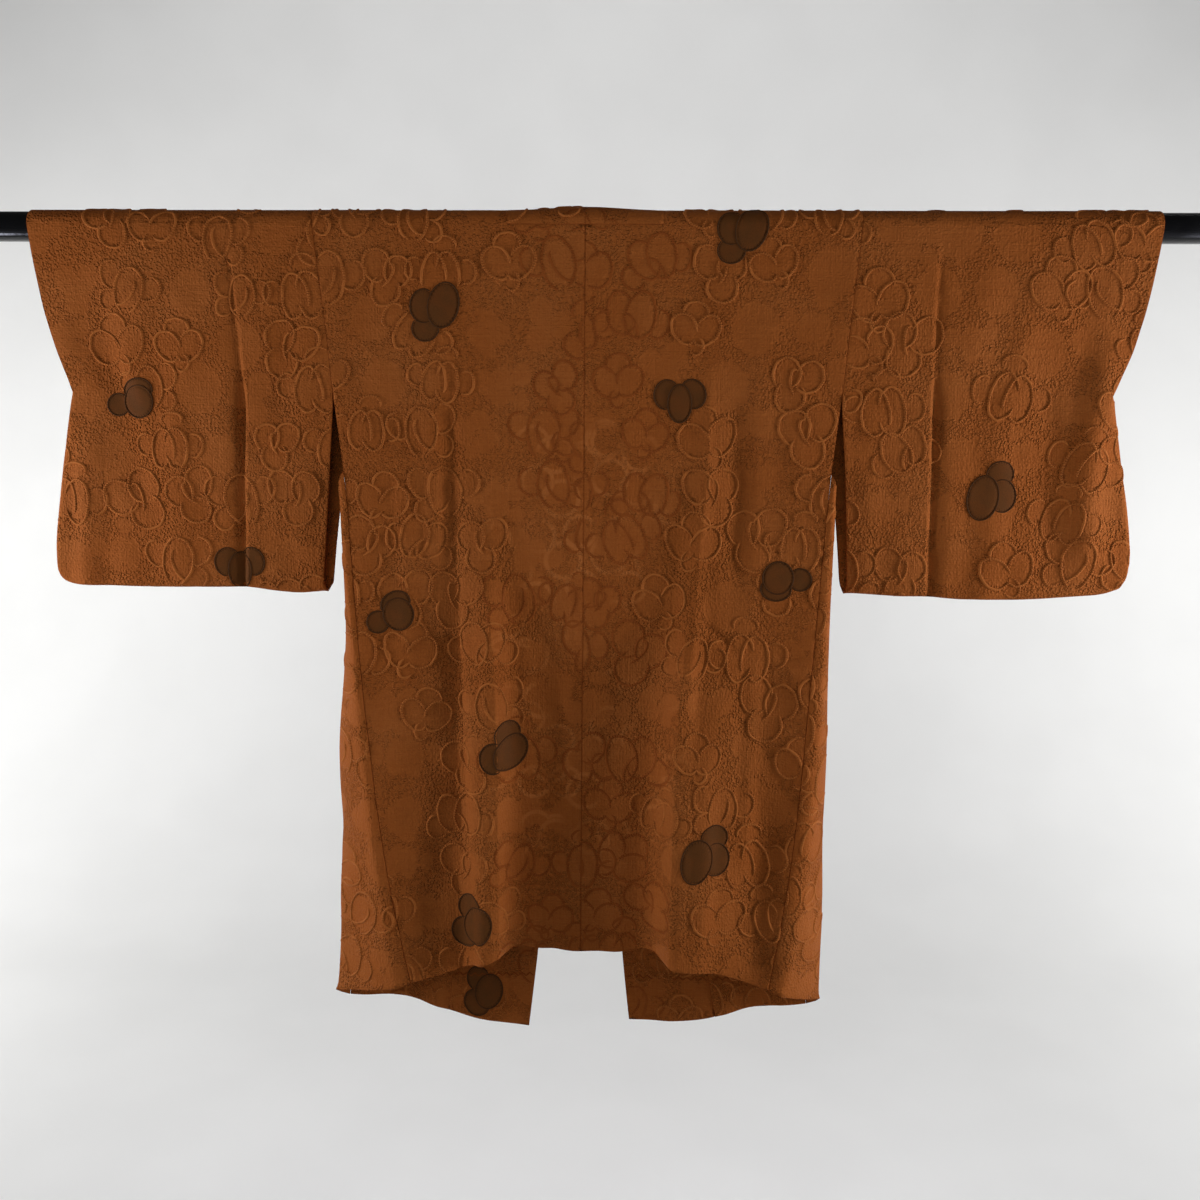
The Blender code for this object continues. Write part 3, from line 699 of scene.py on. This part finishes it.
class Ground:
    """One piece of cloth to lay the woven relief on."""

    def __init__(self, shell, face=0.0, inside=False):
        faces = [tuple(polygon.vertices) for polygon in shell.data.polygons]
        self.tree = BVHTree.FromPolygons([Vector(point) for point in points_of(shell.data)], faces)
        self.face = face
        self.inside = inside

    def find(self, out, length):
        """The point and outward direction there, or None off this piece."""
        start, way = aim(out, length)
        point, normal, _, _ = self.tree.ray_cast(start, way)
        if point is None:
            return None
        if self.face == 0.0 and point.z < 0.0:
            same_layer = point.y * length > 0.0
            if same_layer == self.inside:
                return None
        return point, normal if normal.dot(way) < 0.0 else -normal


def clusters_for(out_low, out_high, length_low, length_high, seed):
    """Middles, designs and turns of the petal clusters on one piece."""
    relief = bpy.context.scene.coat_relief
    dice = random.Random(relief.seed * 1000 + seed)
    found = []
    row = 0
    length = length_low + dice.uniform(-0.5, 0.0) * relief.spacing
    while length < length_high + relief.spacing / 2:
        out = out_low + (0.5 * (row % 2) - dice.uniform(0.0, 0.5)) * relief.spacing
        while out < out_high + relief.spacing / 2:
            middle_out = out + dice.uniform(-1.0, 1.0) * relief.shake
            middle_length = length + dice.uniform(-1.0, 1.0) * relief.shake
            design = None if dice.random() < relief.rounds else dice.choice(CLUSTERS)
            turn = math.radians(dice.gauss(0.0, 14.0))
            size = dice.uniform(0.95, 1.25)
            mirror = dice.choice((-1.0, 1.0))
            corded = dice.random() > relief.ghosts
            found.append(Cluster(middle_out, middle_length, design, turn, size, mirror, corded))
            out += relief.spacing
        length += relief.spacing * 0.92
        row += 1
    return found


def to_cloth(cluster, x, y):
    """A point of a cluster's design, in millimetres, as a place on the cloth."""
    out, length, _, turn, size, mirror, _ = cluster
    x, y = turned(x * mirror * size * MM, y * size * MM, turn)
    return out + x, length + math.copysign(1.0, -length) * y


def on_ellipse(shape, angle):
    """A point on an arc's or a lobe's ellipse, in millimetres."""
    x, y = turned(shape.wide * math.cos(angle), shape.tall * math.sin(angle), math.radians(shape.lean))
    return shape.x + x, shape.y + y


def inside_share(cluster, shape, outs, lengths):
    """For many places: how far inside a petal each is, 0 at its outline and 1 in its middle."""
    out, length, _, turn, size, mirror, _ = cluster
    dx = (outs - out) / (MM * size)
    dy = (lengths - length) / (MM * size) * math.copysign(1.0, -length)
    x, y = turned(dx, dy, -turn)
    across, up = turned(x * mirror - shape.x, y - shape.y, math.radians(-shape.lean))
    return 1.0 - np.sqrt((across / shape.wide) ** 2 + (up / shape.tall) ** 2)


def laid(blossom):
    """A blossom's place in the same form as a cluster's."""
    return Cluster(blossom.out, blossom.length, None, math.radians(blossom.turn), 1.0, 1.0, False)


def in_blossom(blossoms, out, length):
    """Whether a place lies on a dark blossom or close to its outline."""
    for blossom in blossoms:
        if abs(out - blossom.out) > DESIGN_REACH or abs(length - blossom.length) > DESIGN_REACH:
            continue
        for lobe in blossom.lobes:
            wider = lobe._replace(wide=lobe.wide + BLOSSOM_MARGIN, tall=lobe.tall + BLOSSOM_MARGIN)
            if inside_share(laid(blossom), wider, np.array([out]), np.array([length]))[0] > 0.0:
                return True
    return False


# Cloth shells

def crease_depth(creases, outs, downs):
    """Sum of the creases' depths at many places."""
    total = np.zeros(len(outs))
    for crease in creases:
        points = np.array(crease.points)
        legs = np.diff(points, axis=0)
        sizes = np.hypot(legs[:, 0], legs[:, 1])
        best = np.full(len(outs), 1e9)
        along = np.zeros(len(outs))
        aside = np.zeros(len(outs))
        done = 0.0
        for start, leg, size in zip(points, legs, sizes):
            off_out, off_down = outs - start[0], downs - start[1]
            share = np.clip((off_out * leg[0] + off_down * leg[1]) / size ** 2, 0.0, 1.0)
            far = np.hypot(off_out - share * leg[0], off_down - share * leg[1])
            nearer = far < best
            aside = np.where(nearer, leg[1] * off_out - leg[0] * off_down, aside)
            best = np.where(nearer, far, best)
            along = np.where(nearer, (done + share * size) / sizes.sum(), along)
            done += size
        fade = smooth(along / CREASE_FADE)
        if not crease.to_hem:
            fade = fade * smooth((1.0 - along) / CREASE_FADE)
        near = np.clip(1.0 - best / np.where(aside < 0.0, crease.left, crease.right), 0.0, 1.0)
        total += crease.depth * fade * (near ** CREASE_PRESS if crease.pressed else smooth(near))
    return total


def copy_of(node, name, silk):
    """A merged copy of a solid's mesh, in quads, its rims drawn over their seams."""
    mesh = bmesh.new()
    mesh.from_mesh(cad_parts[node].data)
    bmesh.ops.remove_doubles(mesh, verts=mesh.verts, dist=0.00001)
    bmesh.ops.join_triangles(
        mesh, faces=mesh.faces, angle_face_threshold=math.radians(32),
        angle_shape_threshold=math.radians(70))
    for _ in range(3):
        long_edges = [edge for edge in mesh.edges if edge.calc_length() > LONGEST_EDGE]
        bmesh.ops.subdivide_edges(mesh, edges=long_edges, cuts=1, use_grid_fill=True)
    reach_over_seams(mesh)
    data = bpy.data.meshes.new(name)
    mesh.to_mesh(data)
    mesh.free()
    return link_piece(name, data, silk)


def is_rim(face):
    """Whether a face closes the cloth's edge, between its two sides."""
    if min(edge.calc_length() for edge in face.edges) > RIM_WIDTH:
        return False
    beside = [other.normal for edge in face.edges for other in edge.link_faces if other is not face]
    return any(first.dot(second) < -0.5 for first in beside for second in beside)


def float_layer(elements, name):
    layers = elements.layers.float
    return layers.get(name) or layers.new(name)


def reach_over_seams(mesh):
    """Moves the rims out a little, so that two pieces meet in their seam, and marks their edges."""
    reach = bpy.context.scene.coat_cloth.seam_reach
    weight = float_layer(mesh.edges, "bevel_weight_edge")
    mesh.normal_update()
    moves = {}
    for face in mesh.faces:
        if is_rim(face):
            for edge in face.edges:
                if len(edge.link_faces) == 2 and edge.calc_face_angle() > math.radians(50):
                    edge[weight] = 1.0
            for vertex in face.verts:
                moves.setdefault(vertex, []).append(face.normal.copy())
    for vertex, normals in moves.items():
        way = sum(normals, Vector((0.0, 0.0, 0.0)))
        if way.length > 0.5:
            vertex.co += way.normalized() * reach


def hold_edges(shell):
    """Keeps the rounded edges narrow, and their corners sharp, while the cloth is smoothed."""
    with edited(shell.data) as mesh:
        crease = float_layer(mesh.edges, "crease_edge")
        for face in mesh.faces:
            if face.calc_area() > ROUNDED_WIDTH * max(edge.calc_length() for edge in face.edges):
                face.material_index = 0
        for edge in mesh.edges:
            kinds = {face.material_index for face in edge.link_faces}
            edge[crease] = 1.0 if len(kinds) == 2 else 0.0
        corner = float_layer(mesh.verts, "crease_vert")
        for vertex in mesh.verts:
            ways = [(edge.other_vert(vertex).co - vertex.co).normalized()
                    for edge in vertex.link_edges if edge[crease] == 1.0]
            if len(ways) == 2 and ways[0].dot(ways[1]) > -0.88:
                vertex[corner] = 1.0


def cut_along(shell, creases, face):
    """Cuts lines of points into the cloth along each pressed crease, and close beside it."""
    with edited(shell.data) as mesh:
        for crease in creases:
            if not crease.pressed:
                continue
            for first, last in zip(crease.points, crease.points[1:]):
                start = Vector((first[0], -first[1]))
                leg = Vector((last[0] - first[0], first[1] - last[1]))
                way = leg.normalized()
                for beside in (-min(crease.left, BESIDE), 0.0, min(crease.right, BESIDE)):
                    place = start + beside * Vector((way.y, -way.x))
                    cut_line(mesh, place, way, leg.length, face)


def cut_line(mesh, place, way, size, face):
    """Cuts one straight line, seen from the back or the front, into the faces close to it."""
    parts = set()
    for polygon in mesh.faces:
        middle = polygon.calc_center_median()
        if middle.y * face < 0.0 or middle.z > 0.0:
            continue
        off = Vector((middle.x, middle.z)) - place
        if -BESIDE < off.dot(way) < size + BESIDE and abs(off.cross(way)) < CUT_REACH:
            parts.add(polygon)
            parts.update(polygon.edges)
            parts.update(polygon.verts)
    bmesh.ops.bisect_plane(
        mesh, geom=list(parts), dist=0.0002, plane_co=(place.x, 0.0, place.y),
        plane_no=(way.y, 0.0, -way.x))


def make_shell(node, name, creases_back, creases_front, clusters, face=0.0):
    """One piece of cloth, smooth, creased and puffed, with its marks for the silk."""
    cloth = bpy.context.scene.coat_cloth
    shell = copy_of(node, name, material("rust_silk_crinkled", make_silk))
    # The rounded edges take the second material, the seam silk, which is painted dark as shade
    shell.data.materials.append(material("rust_silk_seam_shade", make_seam_shade_silk))
    apply_modifier(shell, "BEVEL", width=cloth.edge_round, segments=2, limit_method="WEIGHT",
                   use_clamp_overlap=True, material=1)
    hold_edges(shell)
    apply_modifier(shell, "SUBSURF", levels=cloth.smoothing, render_levels=cloth.smoothing,
                   boundary_smooth="PRESERVE_CORNERS")
    cut_along(shell, creases_back, -1.0)
    cut_along(shell, creases_front, 1.0)

    mesh = shell.data
    points = points_of(mesh)
    lengths, outwards = lengths_of(points, face)
    outs, downs = points[:, 0], -points[:, 2]
    depth = np.where(lengths < 0, crease_depth(creases_back, outs, downs),
                     crease_depth(creases_front, outs, downs)) * cloth.crease
    calm, pale = petal_marks(clusters, outs, lengths)
    wave = np.sin(outs * 61.0 + 2.2 * np.sin(downs * 9.0)) * np.sin(downs * 17.0 + outs * 23.0)
    wave += 0.6 * np.sin(outs * 117.0 - downs * 31.0) * np.sin(downs * 43.0 + outs * 11.0)
    depth = depth * smooth(downs / 0.03) + cloth.ripple * wave * smooth(downs / 0.10)
    depth += cloth.puff * np.clip(calm, 0.0, 1.0) * (1.0 - pale)
    points += outwards * depth[:, None]
    mesh.vertices.foreach_set("co", points.ravel())
    mark_points(mesh, "calm", calm)
    mark_points(mesh, "pale", pale)
    mesh.update()
    select_only(shell)
    bpy.ops.object.shade_smooth_by_angle(angle=math.radians(55))
    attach(shell, "root")
    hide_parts(node)
    return shell


def petal_marks(clusters, outs, lengths):
    """How calm the silk is at each place, inside petals and rounds, and how pale."""
    calm = np.zeros(len(outs))
    pale = np.zeros(len(outs))
    for cluster in clusters:
        off = np.maximum(np.abs(outs - cluster.out), np.abs(lengths - cluster.length))
        near = off < DESIGN_REACH
        if not near.any():
            continue
        if cluster.design is None:
            share = inside_share(cluster, PLAIN_ROUND, outs[near], lengths[near])
            pale[near] = np.maximum(pale[near], smooth(share / 0.22))
            calm[near] = np.maximum(calm[near], smooth(share / 0.16))
            continue
        for arc in cluster.design:
            share = inside_share(cluster, arc, outs[near], lengths[near])
            calm[near] = np.maximum(calm[near], smooth(share / 0.30))
            if not cluster.corded:
                pale[near] = np.maximum(pale[near], 0.6 * smooth(share / 0.30))
    return calm, pale


# Cords and blossoms

def cord_runs(ground, places, blossoms):
    """Follows places on the cloth and splits them where the cloth or the pattern ends."""
    return unbroken(None if in_blossom(blossoms, *place) else ground.find(*place) for place in places)


class Cords:
    """The mesh of many low cords, and what each of its points carries."""

    def __init__(self):
        self.points, self.faces = [], []
        self.marks = {"along": [], "ridge": [], "flat": []}

    def lay(self, run, width, height, closed=False, full=1.0):
        """Adds one cord along a run: two feet in the cloth and two shoulders above it."""
        count = len(run)
        start = len(self.points)
        along = 0.0
        for i, (point, _) in enumerate(run):
            before = run[i - 1 if i > 0 or closed else 0][0]
            after = run[(i + 1) % count if closed else min(i + 1, count - 1)][0]
            way = (after - before).normalized()
            normal = Vector((0.0, 0.0, 0.0))
            for step in (-2, -1, 0, 1, 2):
                j = (i + step) % count if closed else min(max(i + step, 0), count - 1)
                normal += run[j][1]
            normal.normalize()
            side = way.cross(normal).normalized()
            taper = 1.0 if closed else min(1.0, 0.35 + 0.4 * min(i, count - 1 - i))
            if i > 0:
                along += (point - run[i - 1][0]).length
            for across, rise, ridge in ((-0.5, FOOT_DEPTH, 0.0), (-0.2, taper * height, full),
                                        (0.2, taper * height, full), (0.5, FOOT_DEPTH, 0.0)):
                self.points.append(point + side * (across * width * taper) + normal * rise)
                self.marks["along"].append(along)
                self.marks["ridge"].append(ridge)
                self.marks["flat"].append(1.0 - full)
        for i in range(count if closed else count - 1):
            a, b = start + 4 * i, start + 4 * ((i + 1) % count)
            for j in range(4):
                k = (j + 1) % 4
                self.faces.append((a + j, b + j, b + k, a + k))
        if not closed:
            last = start + 4 * (count - 1)
            self.faces.append((start, start + 1, start + 2, start + 3))
            self.faces.append((last + 3, last + 2, last + 1, last))

    def piece(self, name, paint):
        return mesh_piece(name, self.points, self.faces, paint, self.marks) if self.points else None


def mesh_piece(name, points, faces, paint, marks):
    """A smooth piece from lists of points, faces and numbers at the points."""
    data = bpy.data.meshes.new(name)
    data.from_pydata([tuple(point) for point in points], [], faces)
    for title, numbers in marks.items():
        mark_points(data, title, numbers)
    data.update()
    piece = link_piece(name, data, paint)
    select_only(piece)
    bpy.ops.object.shade_smooth_by_angle(angle=math.radians(75))
    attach(piece, "root")
    return piece


def by_hand(arc, angle, cluster):
    """The arc as it is at one angle, a little off a true ellipse."""
    phase = 40.0 * (cluster.out + cluster.length)
    off = 1.0 + 0.030 * math.sin(3.0 * angle + phase) + 0.014 * math.sin(8.0 * angle - phase)
    return arc._replace(wide=arc.wide * off, tall=arc.tall * off)


def make_cords(name, ground, clusters, blossoms=()):
    """All the raised petal outlines on one piece of cloth."""
    relief = bpy.context.scene.coat_relief
    cords = Cords()
    for cluster in clusters:
        if cluster.design is None or not cluster.corded:
            continue
        full = relief.flat_share if abs(cluster.out) < FLAT_MIDDLE and cluster.length < 0.0 else 1.0
        width, height = relief.cord_width * (1.22 - 0.22 * full), relief.cord_height * full
        for arc in cluster.design:
            size = cluster.size * MM * (arc.wide + arc.tall) / 2
            sweep = math.radians(arc.end - arc.start)
            count = max(6, round(size * sweep / relief.cord_step))
            angles = [math.radians(arc.start) + sweep * i / count for i in range(count + 1)]
            places = [to_cloth(cluster, *on_ellipse(by_hand(arc, angle, cluster), angle))
                      for angle in angles]
            for run in cord_runs(ground, places, blossoms):
                cords.lay(run, width, height, full=full)
    return cords.piece(name, material("rust_silk_cord", make_cord_silk))


def make_hem_line(name, ground, out_low, out_high):
    """The zigzag line that holds the turned-up hem, seen inside the fronts."""
    cords = Cords()
    steps = int((out_high - out_low) / STITCH)
    places = [(out_low + i * STITCH, down_back(HEM_LINE) + (0.0, SWING, 0.0, -SWING)[i % 4])
              for i in range(steps + 1)]
    for run in cord_runs(ground, places, ()):
        cords.lay(run, 0.0020, LINE_HEIGHT)
    return cords.piece(name, material("rust_silk_seam_shade", make_seam_shade_silk))


def make_blossoms(name, ground, blossoms):
    """Dark patches with raised outlines, laid on the cloth."""
    relief = bpy.context.scene.coat_relief
    points, faces = [], []
    marks = {"edge": [], "round_edge": []}
    lines = Cords()
    for blossom in blossoms:
        for level, lobe in enumerate(blossom.lobes):
            rise = relief.lobe_rise * (1.0 + 0.55 * level)
            grid = lobe_grid(ground, laid(blossom), lobe)
            if (0, 0) not in grid:
                continue
            add_patch(grid, rise, points, faces, marks)
            outline = []
            for spoke in range(SPOKES):
                x, y = on_ellipse(lobe, 2 * math.pi * spoke / SPOKES)
                covered = any(within(upper, x, y) for upper in blossom.lobes[level + 1:])
                outline.append(None if covered else grid.get((RINGS, spoke)))
            for run in runs_round(outline):
                lifted = [(point + normal * rise * 0.8, normal) for point, normal in run]
                lines.lay(lifted, 0.0019, LINE_HEIGHT, closed=len(run) == SPOKES)
    fill = mesh_piece(name, points, faces, material("dark_blossom_silk", make_blossom_silk), marks)
    turn_outwards(fill)
    return [fill, lines.piece(name + "_lines", material("dark_blossom_line", make_line_silk))]


def lobe_grid(ground, cluster, lobe):
    """Where the rings and spokes of one lobe meet the cloth, by ring and spoke."""
    grid = {}
    for ring in range(RINGS + 1):
        share = ring / RINGS
        small = lobe._replace(wide=lobe.wide * share, tall=lobe.tall * share)
        for spoke in range(SPOKES if ring else 1):
            hit = ground.find(*to_cloth(cluster, *on_ellipse(small, 2 * math.pi * spoke / SPOKES)))
            if hit:
                grid[ring, spoke] = hit
    return grid


def add_patch(grid, rise, points, faces, marks):
    """Adds one lobe's patch, lifted off the cloth, with its edge sunk into it."""
    index = {}
    for (ring, spoke), (point, normal) in grid.items():
        index[ring, spoke] = len(points)
        points.append(point + normal * (rise if ring < RINGS else FOOT_DEPTH))
        marks["edge"].append(ring / RINGS)
        marks["round_edge"].append(spoke / SPOKES)
    for spoke in range(SPOKES):
        after = (spoke + 1) % SPOKES
        corners = [[(0, 0), (1, spoke), (1, after)]]
        corners += [[(ring, spoke), (ring + 1, spoke), (ring + 1, after), (ring, after)]
                    for ring in range(1, RINGS)]
        for keys in corners:
            if all(key in index for key in keys):
                faces.append(tuple(index[key] for key in keys))


def within(lobe, x, y):
    """Whether a point of a blossom's design, in millimetres, lies well inside a lobe."""
    across, up = turned(x - lobe.x, y - lobe.y, math.radians(-lobe.lean))
    return math.hypot(across / lobe.wide, up / lobe.tall) < 0.97


def runs_round(outline):
    """The unbroken runs of a ring that may have gaps."""
    if None not in outline:
        return [outline]
    first = outline.index(None)
    return unbroken(outline[first:] + outline[:first])


def turn_outwards(piece):
    """Turns each face of a thin patch away from the rod's side of the cloth."""
    with edited(piece.data) as mesh:
        for face in mesh.faces:
            middle = face.calc_center_median()
            away = Vector((0.0, middle.y, max(middle.z, 0.0)))
            if face.normal.dot(away) < 0.0:
                face.normal_flip()


# Operators: one for each piece or group of like pieces

class COAT_OT_stage(bpy.types.Operator):
    """Floor and wall in one pale sweep, soft lights at both sides, and the camera"""

    bl_idname = "coat.stage"
    bl_label = "Stage"

    def execute(self, context):
        stage = context.scene.coat_stage
        nodes = Nodes("pale_wall")
        darker = tuple(value * 0.97 for value in stage.wall)
        colour = nodes.blend(nodes.spread(nodes.noise(3.0), 0.3, 0.7), stage.wall, darker)
        paint = nodes.finish(colour, 0.9, 0.1)

        floor, wall, turn = -1.62, 2.70, 1.1
        outline = [(-5.0, floor), (wall - turn, floor)]
        for i in range(1, 16):
            angle = math.pi / 2 * i / 16
            outline.append((wall - turn + turn * math.sin(angle), floor + turn * (1 - math.cos(angle))))
        outline += [(wall, floor + turn), (wall, 3.0)]
        points = [(x, y, z) for y, z in outline for x in (-6.0, 6.0)]
        faces = [(2 * i, 2 * i + 1, 2 * i + 3, 2 * i + 2) for i in range(len(outline) - 1)]
        data = bpy.data.meshes.new("pale_sweep")
        data.from_pydata(points, [], faces)
        sweep = link_piece("pale_sweep", data, paint)
        data.shade_smooth()

        world = bpy.data.worlds.new("even_light")
        world.use_nodes = True
        context.scene.world = world
        background = world.node_tree.nodes["Background"].inputs
        background["Color"].default_value = (1.0, 1.0, 1.0, 1.0)
        background["Strength"].default_value = stage.fill

        for side, x, far in (("left", -1.0, stage.far_left), ("right", 1.02, stage.far_right)):
            self.light("side_" + side, (1.1 * x, -0.27, -0.45), (0.5 * x, 0.0, -0.38), (0.22, 0.6), 180,
                       stage.side_light, colour=(1.0, 1.02, 1.22))
            self.light("far_" + side, (2.3 * x, -0.50, -0.42), (0.0, -0.02, -0.38), (0.4, 0.9), 100, far)
            self.light("wall_" + side, (2.6 * x, 0.9, -0.6), (0.9 * x, 2.7, -0.9), (1.6, 1.8), 180,
                       stage.wall_light)
        self.light("front", (-0.25, -2.3, 0.0), (0.0, 0.0, -0.3), (1.8, 0.8), 90, stage.front_light)
        self.light("top", (0.0, 0.9, 1.9), (0.0, 2.7, 0.6), (3.0, 0.8), 180, stage.top_light)
        self.light("floor", (0.0, 0.35, -1.12), (0.0, 1.30, -1.62), (3.0, 0.3), 150, stage.floor_light)
        self.camera(context, stage)
        context.scene.view_settings.view_transform = "Standard"
        context.scene.view_settings.look = "None"
        return {"FINISHED"}

    def light(self, name, place, target, size, spread, power, colour=(1.0, 1.0, 1.0)):
        data = bpy.data.lights.new(name, "AREA")
        data.shape = "RECTANGLE"
        data.size, data.size_y = size
        data.spread = math.radians(spread)
        data.energy = power
        data.color = colour
        lamp = bpy.data.objects.new(name, data)
        lamp.location = place
        lamp.rotation_euler = (Vector(target) - Vector(place)).to_track_quat("-Z", "Y").to_euler()
        lamp.visible_camera = False
        bpy.context.scene.collection.objects.link(lamp)

    def camera(self, context, stage):
        data = bpy.data.cameras.new("camera")
        data.sensor_width = 36.0
        data.lens = stage.lens
        level = Vector((math.cos(stage.yaw), math.sin(stage.yaw), 0.0))
        ahead = Vector((
            -math.sin(stage.yaw) * math.cos(stage.pitch),
            math.cos(stage.yaw) * math.cos(stage.pitch),
            -math.sin(stage.pitch),
        ))
        upright = level.cross(ahead)
        across = level * math.cos(stage.roll) + upright * math.sin(stage.roll)
        upright = upright * math.cos(stage.roll) - level * math.sin(stage.roll)
        camera = bpy.data.objects.new("camera", data)
        turn = Matrix((across, upright, -ahead)).transposed().to_4x4()
        camera.matrix_world = Matrix.Translation(stage.place) @ turn
        context.scene.collection.objects.link(camera)
        context.scene.camera = camera


class COAT_OT_rod(bpy.types.Operator):
    """Gloss black paint on the rod"""

    bl_idname = "coat.rod"
    bl_label = "Rod"

    def execute(self, context):
        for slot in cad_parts["rod"].material_slots:
            slot.material = material("gloss_black_paint", make_rod_paint)
        return {"FINISHED"}


class COAT_OT_bodies(bpy.types.Operator):
    """The two widths of cloth from the back hem over the shoulders to the front hem"""

    bl_idname = "coat.bodies"
    bl_label = "Body panels"

    def execute(self, context):
        for number, (side, sign) in enumerate(SIDES):
            node = "body_" + side
            low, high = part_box(node)
            clusters = clusters_for(low.x, high.x, down_back(low.z), -down_back(low.z), number)
            shell = make_shell(node, "panel_" + side, BACK_CREASES, FRONT_CREASES, clusters)
            blossoms = [blossom for blossom in BODY_BLOSSOMS if blossom.out * sign > 0]
            outside, inside = Ground(shell), Ground(shell, inside=True)
            low_clusters = clusters_for(low.x, high.x, *INSIDE_LENGTHS, 40 + number)
            extras = [
                make_cords("petals_panel_" + side, outside, clusters, blossoms),
                make_cords("petals_inside_" + side, inside, low_clusters),
                make_hem_line("hem_line_" + side, inside, low.x + 0.01, high.x - 0.01),
                *make_blossoms("blossoms_panel_" + side, outside, blossoms),
            ]
        return {"FINISHED"}


class COAT_OT_sleeves(bpy.types.Operator):
    """The two sleeves, each one length of cloth folded over the rod"""

    bl_idname = "coat.sleeves"
    bl_label = "Sleeves"

    def execute(self, context):
        for number, (side, sign) in enumerate(SIDES):
            node = "sleeve_" + side
            low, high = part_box(node)
            clusters = clusters_for(low.x, high.x, down_back(low.z), -down_back(low.z), 10 + number)
            shell = make_shell(node, "sleeve_cloth_" + side, SLEEVE_CREASES, SLEEVE_FRONT_CREASES, clusters)
            blossoms = [blossom for blossom in SLEEVE_BLOSSOMS if blossom.out * sign > 0]
            ground = Ground(shell)
            extras = [
                make_cords("petals_sleeve_" + side, ground, clusters, blossoms),
                *make_blossoms("blossoms_sleeve_" + side, ground, blossoms),
            ]
        return {"FINISHED"}


class COAT_OT_gussets(bpy.types.Operator):
    """The narrow strips let in at the sides"""

    bl_idname = "coat.gussets"
    bl_label = "Side strips"

    def execute(self, context):
        for number, (side, _) in enumerate(SIDES):
            node = "gusset_" + side
            low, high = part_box(node)
            clusters = clusters_for(low.x, high.x, down_back(low.z), down_back(high.z), 20 + number)
            shell = make_shell(node, "side_strip_" + side, (), (), clusters, face=-1.0)
            cords = make_cords("petals_strip_" + side, Ground(shell, face=-1.0), clusters)
        return {"FINISHED"}


class COAT_OT_collar(bpy.types.Operator):
    """The band round the neck and down both fronts"""

    bl_idname = "coat.collar"
    bl_label = "Collar band"

    def execute(self, context):
        low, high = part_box("collar_band")
        clusters = clusters_for(low.x, high.x, -HALF_TURN, -down_back(low.z), 30)
        shell = make_shell("collar_band", "collar_cloth", (), (), clusters)
        low_clusters = clusters_for(low.x, high.x, *INSIDE_LENGTHS, 45)
        inside = Ground(shell, inside=True)
        extras = [
            make_cords("petals_collar", Ground(shell), clusters),
            make_cords("petals_collar_inside", inside, low_clusters, INSIDE_BLOSSOMS),
        ]
        for side, sign in SIDES:
            ends = sorted((0.05 * sign, 0.24 * sign))
            extras.append(make_hem_line("hem_line_collar_" + side, inside, *ends))
        extras += make_blossoms("blossoms_collar_inside", inside, INSIDE_BLOSSOMS)
        return {"FINISHED"}


class COAT_PT_sidebar(bpy.types.Panel):
    """Lists the coat's pieces and their sizes"""

    bl_label = "Kimono Coat"
    bl_idname = "COAT_PT_sidebar"
    bl_space_type = "VIEW_3D"
    bl_region_type = "UI"
    bl_category = "Coat"

    def draw(self, context):
        for operator in OPERATORS:
            self.layout.operator(operator.bl_idname)
        for title, group in GROUPS:
            box = self.layout.box()
            for key in group.__annotations__:
                box.prop(getattr(context.scene, title), key)


OPERATORS = (
    COAT_OT_stage, COAT_OT_rod, COAT_OT_bodies, COAT_OT_sleeves, COAT_OT_gussets, COAT_OT_collar,
)
GROUPS = (
    ("coat_cloth", CoatCloth), ("coat_relief", CoatRelief), ("coat_colours", CoatColours),
    ("coat_stage", CoatStage),
)


def register():
    for title, group in GROUPS:
        bpy.utils.register_class(group)
        setattr(bpy.types.Scene, title, bpy.props.PointerProperty(type=group))
    for operator in OPERATORS:
        bpy.utils.register_class(operator)
    bpy.utils.register_class(COAT_PT_sidebar)


def unregister():
    bpy.utils.unregister_class(COAT_PT_sidebar)
    for operator in reversed(OPERATORS):
        bpy.utils.unregister_class(operator)
    for title, group in reversed(GROUPS):
        delattr(bpy.types.Scene, title)
        bpy.utils.unregister_class(group)


def main():
    register()
    deselect()
    bpy.ops.coat.stage()
    bpy.ops.coat.rod()
    bpy.ops.coat.bodies()
    bpy.ops.coat.sleeves()
    bpy.ops.coat.gussets()
    bpy.ops.coat.collar()


if __name__ == "__main__":
    main()
